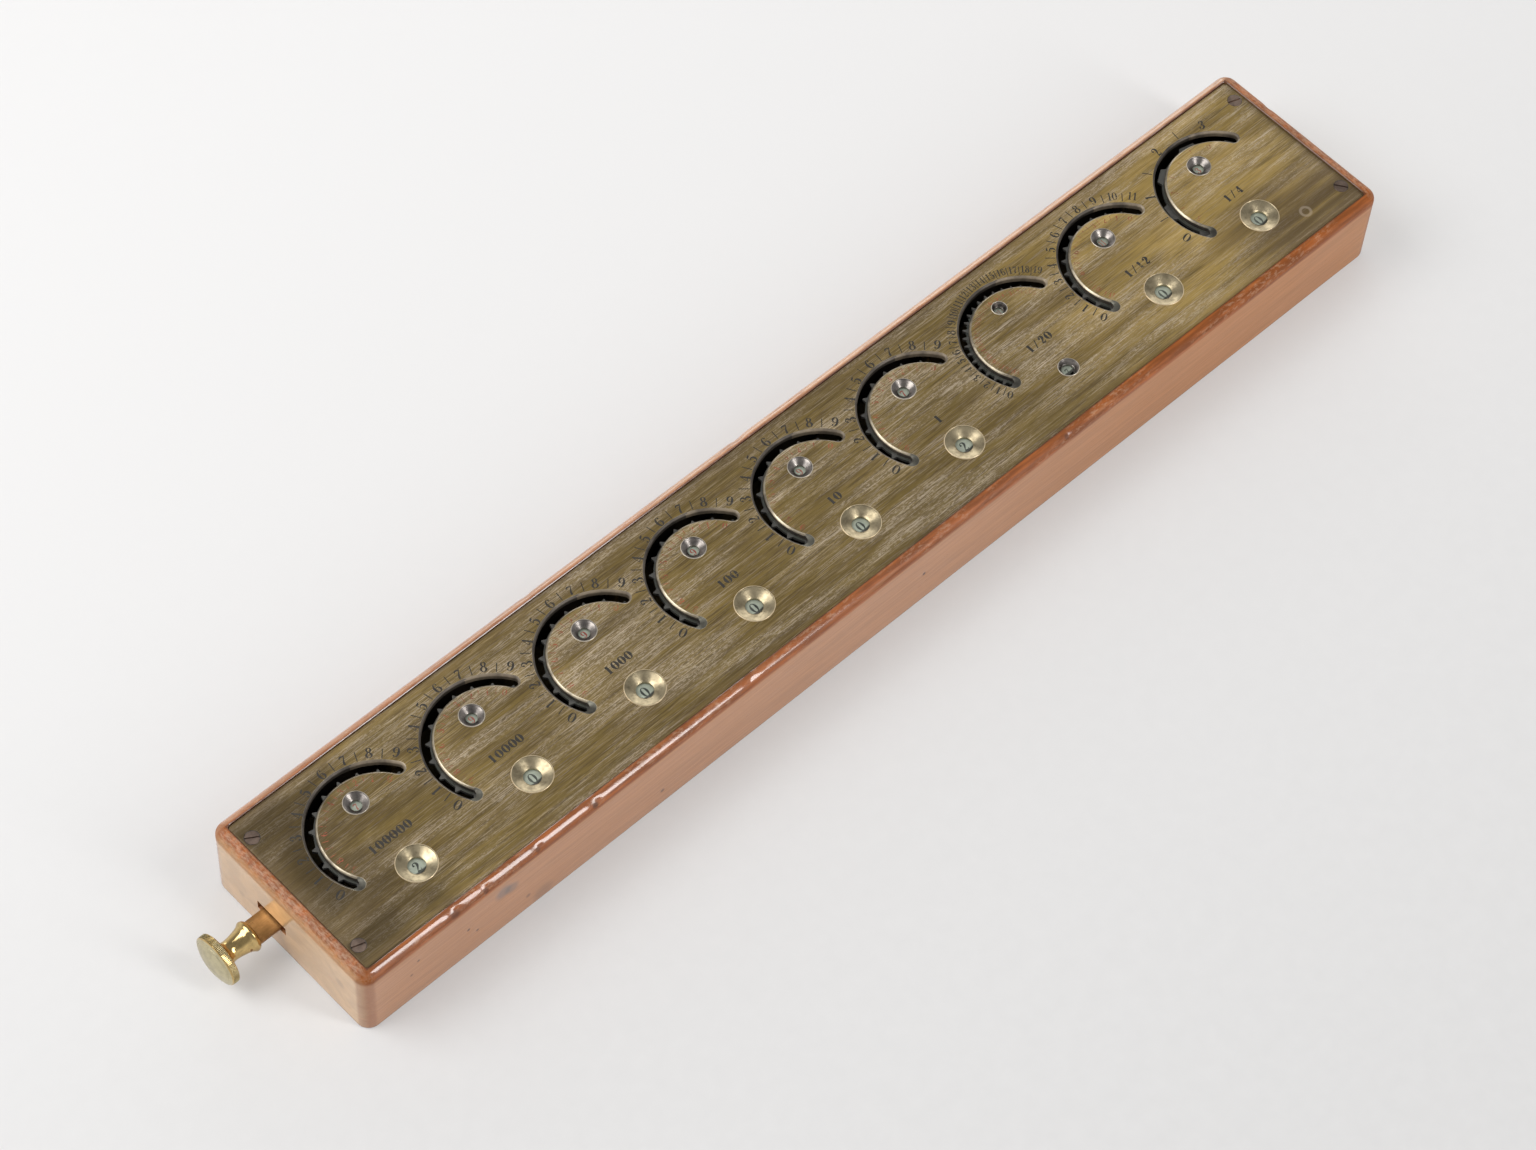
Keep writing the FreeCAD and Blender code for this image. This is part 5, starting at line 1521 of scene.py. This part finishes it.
class MACHINE_OT_wheels(bpy.types.Operator):
    """Toothed number wheels with their black and red figures"""

    bl_idname = "machine.wheels"
    bl_label = "Number wheels"

    # base and tip widths of a tooth on each kind of wheel
    TEETH = {10: (2.4, 0.3), 20: (1.5, 0.3), 12: (2.2, 0.3), 4: (6.6, 5.0)}
    # how deep the teeth are sunk into the disc, and how wide its dull edge is
    TOOTH_SUNK = 0.6
    DULL_EDGE = 0.7
    FIGURE_DEPTH = 0.1
    FIGURE_WEIGHT = 1.3
    # size of the figures on the wheel with small windows, and width of the figures of ten and more
    SMALL = 0.68
    NARROW = 0.62

    def execute(self, context):
        settings = context.scene.machine_wheels
        recipe = self.wheel_recipe()
        face = wheel_face(settings)
        teeth_metal = stock_metal("dull wheel teeth")
        figure_metals = {kind: stock_metal(f"{kind} wheel figures") for kind in ("black", "red")}
        for name, places, shown, *_ in DIALS:
            bm = self.disc(recipe, face, settings, dial_centre(name), places)
            body, node = f"{name}_wheel", f"{name}_number_wheel"
            show(f"{name}_silvered_wheel", bm, [face, teeth_metal], body, "silvered_brass", node)
            for kind, metal in figure_metals.items():
                bm = self.figures(context.scene, name, places, shown, kind)
                show(f"{name}_{kind}_wheel_figures", bm, [metal], body, "silvered_brass")
        return {"FINISHED"}

    def disc(self, recipe, face, settings, centre, places):
        step = scale_step(places)
        tooth_base, tooth_tip = self.TEETH[places]
        mesh = recipe.cook(
            material=face,
            teeth=2 * places,
            first_bearing=bpy.context.scene.machine_plate.slot_end - step,
            turn=step,
            root_radius=settings.root_radius,
            tip_radius=settings.tip_radius,
            bore_radius=settings.bore_radius,
            thickness=settings.thickness,
            tooth_base=tooth_base,
            tooth_tip=tooth_tip,
        )
        bm = bmesh.new()
        take(bm, mesh, Matrix.Translation(centre - UP * settings.thickness))
        bmesh.ops.remove_doubles(bm, verts=bm.verts, dist=1e-3)
        bmesh.ops.recalc_face_normals(bm, faces=bm.faces)
        for part in bm.faces:
            nearest = min((vert.co - centre).xy.length for vert in part.verts)
            part.material_index = int(nearest > settings.root_radius - self.DULL_EDGE)
        return bm

    def figures(self, scene, name, places, shown, kind):
        """The black figures, read in the result window, or the red ones of the complement window."""
        wheel, plate = scene.machine_wheels, scene.machine_plate
        small = name == SMALL_WINDOW_DIAL
        if kind == "black":
            radius = plate.small_window_reach if small else plate.window_reach
            height, start, upright = wheel.black_height, -math.pi / 2, math.pi / 2
        else:
            radius = plate.small_complement_reach if small else plate.complement_reach
            height, start, upright = wheel.red_height, math.pi / 2, -math.pi / 2
        centre = dial_centre(name) + UP * FIGURE_LIFT
        bm = bmesh.new()
        for place in range(2 * places):
            number = (shown + place) % places
            text = str(number if kind == "black" else places - 1 - number)
            angle = start - place * scale_step(places)
            engrave_number(
                bm,
                text,
                polar(centre, radius, angle),
                height * (self.SMALL if small else 1.0),
                turn=angle + upright,
                depth=self.FIGURE_DEPTH,
                weight=self.FIGURE_WEIGHT,
                narrow=self.NARROW if len(text) > 1 else 1.0,
            )
        bmesh.ops.recalc_face_normals(bm, faces=bm.faces)
        return bm

    def wheel_recipe(self):
        t = Recipe(
            "Toothed wheel",
            "teeth",
            "first_bearing turn root_radius tip_radius bore_radius thickness tooth_base tooth_tip",
        )
        root = t.add("GeometryNodeCurvePrimitiveCircle", {"Resolution": 200, "Radius": t.root_radius})
        bore = t.add("GeometryNodeCurvePrimitiveCircle", {"Resolution": 48, "Radius": t.bore_radius})
        disc = t.slab(t.join(root, bore), t.thickness)
        tooth_height = t.plus(t.minus(t.tip_radius, t.root_radius), self.TOOTH_SUNK)
        widths = {"Bottom Width": t.tooth_base, "Top Width": t.tooth_tip, "Offset": 0.0}
        outline = t.add(
            "GeometryNodeCurvePrimitiveQuadrilateral",
            {"Height": tooth_height, **widths},
            mode="TRAPEZOID",
        )
        middle = t.minus(t.tip_radius, t.times(tooth_height, 0.5))
        tooth = t.add(
            "GeometryNodeTransform",
            {
                "Geometry": t.slab(outline, t.thickness),
                "Translation": t.vector(middle),
                "Rotation": (0.0, 0.0, -math.pi / 2),
            },
        )
        teeth = t.on_circle(t.teeth, 0.0, t.first_bearing, t.turn, tooth)
        whole = t.add(
            "GeometryNodeMeshBoolean",
            {
                "Mesh 2": t.join(disc, t.add("GeometryNodeRealizeInstances", {"Geometry": teeth})),
                "Self Intersection": True,
            },
            operation="UNION",
            solver="EXACT",
        )
        t.end(whole)
        return t


class MACHINE_OT_screws(bpy.types.Operator):
    """Countersunk corner screws of the face plate"""

    bl_idname = "machine.screws"
    bl_label = "Corner screws"

    STEPS = 40
    # pitch of the thread, its depth, and where it starts and ends along the screw
    PITCH = 0.62
    THREAD_DEPTH = 0.28
    THREAD_START = 1.2
    THREAD_END = 1.6

    def execute(self, context):
        settings = context.scene.machine_screws
        steel = plain_metal(
            "browned screw steel", settings.steel, shade(settings.steel, 0.45), (3, 0.3, 3), 0.3, 0.55
        )
        mesh = self.corners_recipe().cook(
            source=mesh_of(self.screw(settings)),
            material=steel,
            reach_x=(SCREWS_HIGH.x - SCREWS_LOW.x) / 2 - settings.head_radius,
            reach_y=(SCREWS_HIGH.y - SCREWS_LOW.y) / 2 - settings.head_radius,
            seed=settings.turn_seed,
        )
        bm = bmesh.new()
        take(bm, mesh, Matrix())
        show("corner_screw_set", bm, [steel], "case", "screw_steel", "corner_screws")
        return {"FINISHED"}

    def screw(self, settings):
        """One screw about Z, with its driver slot along X."""
        top, low = SCREWS_HIGH.z, SCREWS_LOW.z
        head, shank, seat = settings.head_radius, settings.shank_radius, top - settings.head_depth
        profile = [(0.0, low), (0.35, low + 0.4)]
        z = low + self.THREAD_START
        while z < seat - self.THREAD_END:
            profile += [(shank - self.THREAD_DEPTH, z), (shank - 0.02, z + 0.3)]
            z += self.PITCH
        profile += [
            (shank - 0.05, seat - 0.9),
            (shank - 0.02, seat - 0.02),
            (head - 0.04, top - 0.1),
            (head - 0.1, top - 0.02),
            (head * 0.5, top - 0.005),
            (0.0, top),
        ]
        driver_slot = block(
            (-head - OVERRUN, -settings.slot_width / 2, top - settings.slot_depth),
            (head + OVERRUN, settings.slot_width / 2, top + OVERRUN),
        )
        return carved(turned(profile, self.STEPS), [driver_slot])

    def corners_recipe(self):
        t = Recipe("Four corners", "seed", "reach_x reach_y")
        index = t.add("GeometryNodeInputIndex")
        side_x = t.minus(t.times(t.math("MODULO", index, 2.0), 2.0), 1.0)
        side_y = t.minus(t.times(t.math("GREATER_THAN", index, 1.5), 2.0), 1.0)
        spot = t.vector(t.times(side_x, t.reach_x), t.times(side_y, t.reach_y))
        inputs = {"Min": 0.0, "Max": math.pi, "Seed": t.seed}
        turn = t.add("FunctionNodeRandomValue", inputs, "Value", data_type="FLOAT")
        t.end(t.instances(4, spot, t.geometry, turn))
        return t


class MACHINE_OT_bar(bpy.types.Operator):
    """Flat brass pull bar with broken edges"""

    bl_idname = "machine.bar"
    bl_label = "Pull bar"

    def execute(self, context):
        settings = context.scene.machine_bar
        bm = block(BAR_LOW, BAR_HIGH)
        bmesh.ops.bevel(bm, geom=bm.edges, offset=settings.edge, segments=3, profile=0.5, affect="EDGES")
        show("brass_pull_bar", bm, [bar_brass(settings.brass)], "zero_bar", "bar_brass", "pull_bar")
        return {"FINISHED"}


class MACHINE_OT_knob(bpy.types.Operator):
    """Turned knob: a collar that grips the bar, a hollowed neck and a knurled disc"""

    bl_idname = "machine.knob"
    bl_label = "Knob"

    # radius at each distance outwards from the collar's inner face
    COLLAR_AND_NECK = (
        (0.0, 0.0), (4.2, 0.0), (4.4, 0.08), (4.62, 0.35), (4.82, 0.75), (4.88, 1.15), (4.8, 1.5),
        (4.45, 2.0), (4.1, 2.6), (3.85, 3.4), (3.62, 4.4), (3.42, 5.4), (3.27, 6.4), (3.2, 7.2),
        (3.22, 8.0), (3.35, 8.6), (3.62, 9.2), (4.1, 9.65), (4.9, 9.95), (6.2, 10.2), (7.2, 10.36),
        (7.7, 10.5), (7.86, 10.62),
    )
    BAND_LOW = (7.9, 10.72)
    BAND_HIGH = (7.9, 12.62)
    FACE_EDGE = (7.7, 13.02)
    FACE = (
        (7.3, 13.22), (6.95, 13.38), (6.75, 13.3), (6.6, 13.34), (6.45, 13.56), (6.2, 13.7),
        (5.2, 14.04), (4.0, 14.38), (2.6, 14.63), (1.2, 14.76), (0.0, 14.8),
    )
    DISC = (BAND_LOW, BAND_HIGH, (8.0, 12.68), (7.98, 12.82), FACE_EDGE, *FACE)
    STEPS = 128
    # how much shorter the ridges are than the band
    RIDGE_GAP = 0.1
    # how far the bar reaches into the collar
    GRIP = 3.5

    def execute(self, context):
        settings = context.scene.machine_knob
        axis = Vector((KNOB_HIGH.x, (KNOB_LOW.y + KNOB_HIGH.y) / 2, (KNOB_LOW.z + KNOB_HIGH.z) / 2))
        outwards = Matrix.Translation(axis) @ Matrix.Rotation(-math.pi / 2, 4, "Y")
        brass = turned_brass("turned knob brass", settings.brass, shade(settings.brass, 0.7), 0.06, 0.2)
        face_brass = turned_brass(
            "dull knob face", settings.face_brass, shade(settings.face_brass, 0.78), 0.24, 0.42, 0.01
        )
        body = self.body()
        bmesh.ops.transform(body, matrix=outwards, verts=body.verts)
        show("turned_knob", body, [brass, face_brass], "zero_bar", "knob_brass", "knob", sharp=40.0)

        (radius, low), (_, high) = self.BAND_LOW, self.BAND_HIGH
        knurl = stock_metal("knurled band brass")
        mesh = self.knurl_recipe().cook(
            material=knurl,
            ridges=settings.ridges,
            radius=radius,
            ridge_length=high - low - self.RIDGE_GAP,
            ridge_height=settings.ridge_height,
        )
        bm = bmesh.new()
        take(bm, mesh, outwards @ Matrix.Translation((0, 0, (low + high) / 2)))
        show("knurled_band", bm, [knurl], "zero_bar", "knob_brass", sharp=50.0)
        return {"FINISHED"}

    def body(self):
        """The turned part about Z, sawn for the bar, with its places on the lathe in an attribute."""
        half_thick, half_wide = (BAR_HIGH.z - BAR_LOW.z) / 2, (BAR_HIGH.y - BAR_LOW.y) / 2
        saw_cut = block((-half_thick, -half_wide, -OVERRUN), (half_thick, half_wide, self.GRIP))
        body = carved(turned(self.COLLAR_AND_NECK + self.DISC, self.STEPS), [saw_cut])
        turning = body.verts.layers.float.new("turning")
        for vert in body.verts:
            vert[turning] = vert.co.xy.length * 0.8 + vert.co.z
        for face in body.faces:
            face.material_index = int(face.calc_center_median().z > self.FACE_EDGE[1])
        return body

    def knurl_recipe(self):
        t = Recipe("Knurled band", "ridges", "radius ridge_length ridge_height")
        sizes = {"Radius": t.ridge_height, "Depth": t.ridge_length}
        ridge = t.add("GeometryNodeMeshCylinder", {"Vertices": 6, **sizes})
        turn = t.math("DIVIDE", 2 * math.pi, t.ridges)
        t.end(t.on_circle(t.ridges, t.radius, 0.0, turn, ridge))
        return t


class MACHINE_OT_movement(bpy.types.Operator):
    """Finishes of the hidden movement: cams, levers, jumpers, springs, studs, frame plate and pillars"""

    bl_idname = "machine.movement"
    bl_label = "Movement"

    # words in the names of the CAD nodes that are of each metal; the other nodes are of brass
    MADE_OF = {
        "oiled lever steel": ("carry_lever", "wheel_arbors", "studs", "pillar_screws", "knob_pin"),
        "tempered spring steel": ("jumper", "springs"),
        "brown lug brass": ("lugs",),
    }

    def execute(self, context):
        brass = stock_metal("oiled movement brass")
        metals = [(words, stock_metal(name)) for name, words in self.MADE_OF.items()]
        for node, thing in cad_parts.items():
            if thing.hide_render:
                continue
            matching = (metal for words, metal in metals if any(word in node for word in words))
            thing.data.materials.clear()
            thing.data.materials.append(next(matching, brass))
        return {"FINISHED"}


class MACHINE_OT_stage(bpy.types.Operator):
    """Pale floor, soft lights and the camera"""

    bl_idname = "machine.stage"
    bl_label = "Stage"

    # in metres and degrees, and the lens and its sensor in millimetres
    CAMERA_PLACE = (-0.531408, -0.473849, 1.065940)
    CAMERA_TURN = (33.241291, -2.449438, -43.321590)
    LENS = 101.787
    SENSOR = 36.0
    NEAREST, FARTHEST = 0.05, 60.0
    FLOOR_REACH = 12.0
    # Each light: name, direction in which it stands, distance, width and height, in metres.
    LIGHTS = (
        ("key", (-0.54, 0.37, 0.76), 1.5, (1.0, 1.0)),
        ("fill", (0.232, -0.70, 0.675), 1.55, (0.27, 1.35)),
        ("back", (0.68, 0.66, 0.32), 1.8, (1.9, 0.5)),
    )
    HORIZON = (0.9, 0.895, 0.885)

    def execute(self, context):
        settings = context.scene.machine_stage
        self.place_camera(context.scene)
        self.lay_floor(context.scene, settings.floor)
        for name, direction, distance, size in self.LIGHTS:
            light_power = getattr(settings, f"{name}_power")
            self.soft_light(f"{name} light", direction, distance, size, light_power)
        context.scene.world = self.surroundings(settings.world_level)
        context.scene.view_settings.view_transform = "Standard"
        return {"FINISHED"}

    def place_camera(self, scene):
        data = bpy.data.cameras.new("camera")
        data.lens = self.LENS
        data.sensor_width = self.SENSOR
        data.clip_start, data.clip_end = self.NEAREST, self.FARTHEST
        camera = bpy.data.objects.new("camera", data)
        camera.location = self.CAMERA_PLACE
        camera.rotation_euler = [math.radians(angle) for angle in self.CAMERA_TURN]
        scene.collection.objects.link(camera)
        scene.camera = camera

    def lay_floor(self, scene, colour_here):
        mesh = bpy.data.meshes.new("floor")
        reach = self.FLOOR_REACH
        corners = [(-reach, -reach, 0), (reach, -reach, 0), (reach, reach, 0), (-reach, reach, 0)]
        mesh.from_pydata(corners, [], [(0, 1, 2, 3)])
        mesh.materials.append(floor_paper(colour_here))
        floor = bpy.data.objects.new("floor", mesh)
        scene.collection.objects.link(floor)
        return floor

    def soft_light(self, name, direction, distance, size, watts):
        """A soft light that looks at the machine from a direction."""
        light = bpy.data.lights.new(name, "AREA")
        light.shape = "RECTANGLE"
        light.size, light.size_y = size
        light.energy = watts
        lamp = bpy.data.objects.new(name, light)
        toward = Vector(direction).normalized()
        lamp.location = toward * distance
        lamp.rotation_euler = toward.to_track_quat("Z", "Y").to_euler()
        bpy.context.scene.collection.objects.link(lamp)

    def surroundings(self, level):
        """A world that is bright at the horizon and dimmer overhead."""
        world = bpy.data.worlds.new("surroundings")
        world.use_nodes = True
        sky = Nodes(world.node_tree)
        direction = sky.add("ShaderNodeTexCoord", output="Generated")
        overhead = sky.step(sky.part(direction, "Z"), 0.05, 0.65)
        tone = sky.mix(overhead, self.HORIZON, [level] * 3)
        sky.tree.links.new(tone, world.node_tree.nodes["Background"].inputs["Color"])
        return world


OPERATORS = (
    MACHINE_OT_stage,
    MACHINE_OT_case,
    MACHINE_OT_plate,
    MACHINE_OT_figures,
    MACHINE_OT_wheels,
    MACHINE_OT_screws,
    MACHINE_OT_bar,
    MACHINE_OT_knob,
    MACHINE_OT_movement,
)
SETTINGS = {
    "machine_case": CaseSettings,
    "machine_plate": PlateSettings,
    "machine_figures": FigureSettings,
    "machine_wheels": WheelSettings,
    "machine_screws": ScrewSettings,
    "machine_bar": BarSettings,
    "machine_knob": KnobSettings,
    "machine_stage": StageSettings,
}


class MACHINE_PT_panel(bpy.types.Panel):
    """Lists the steps that dress the machine"""

    bl_idname = "MACHINE_PT_panel"
    bl_label = "Adding machine"
    bl_space_type = "VIEW_3D"
    bl_region_type = "UI"
    bl_category = "Adding machine"

    def draw(self, context):
        for operator in OPERATORS:
            self.layout.operator(operator.bl_idname)
        for name, group in SETTINGS.items():
            box = self.layout.box()
            for key in group.__annotations__:
                box.prop(getattr(context.scene, name), key)


def register():
    for group in SETTINGS.values():
        bpy.utils.register_class(group)
    for name, group in SETTINGS.items():
        setattr(bpy.types.Scene, name, bpy.props.PointerProperty(type=group))
    for operator in OPERATORS:
        bpy.utils.register_class(operator)
    bpy.utils.register_class(MACHINE_PT_panel)


def unregister():
    bpy.utils.unregister_class(MACHINE_PT_panel)
    for operator in reversed(OPERATORS):
        bpy.utils.unregister_class(operator)
    for name, group in SETTINGS.items():
        delattr(bpy.types.Scene, name)
        bpy.utils.unregister_class(group)


def main():
    register()
    for operator in OPERATORS:
        area, action = operator.bl_idname.split(".")
        getattr(getattr(bpy.ops, area), action)()


if __name__ == "__main__":
    main()
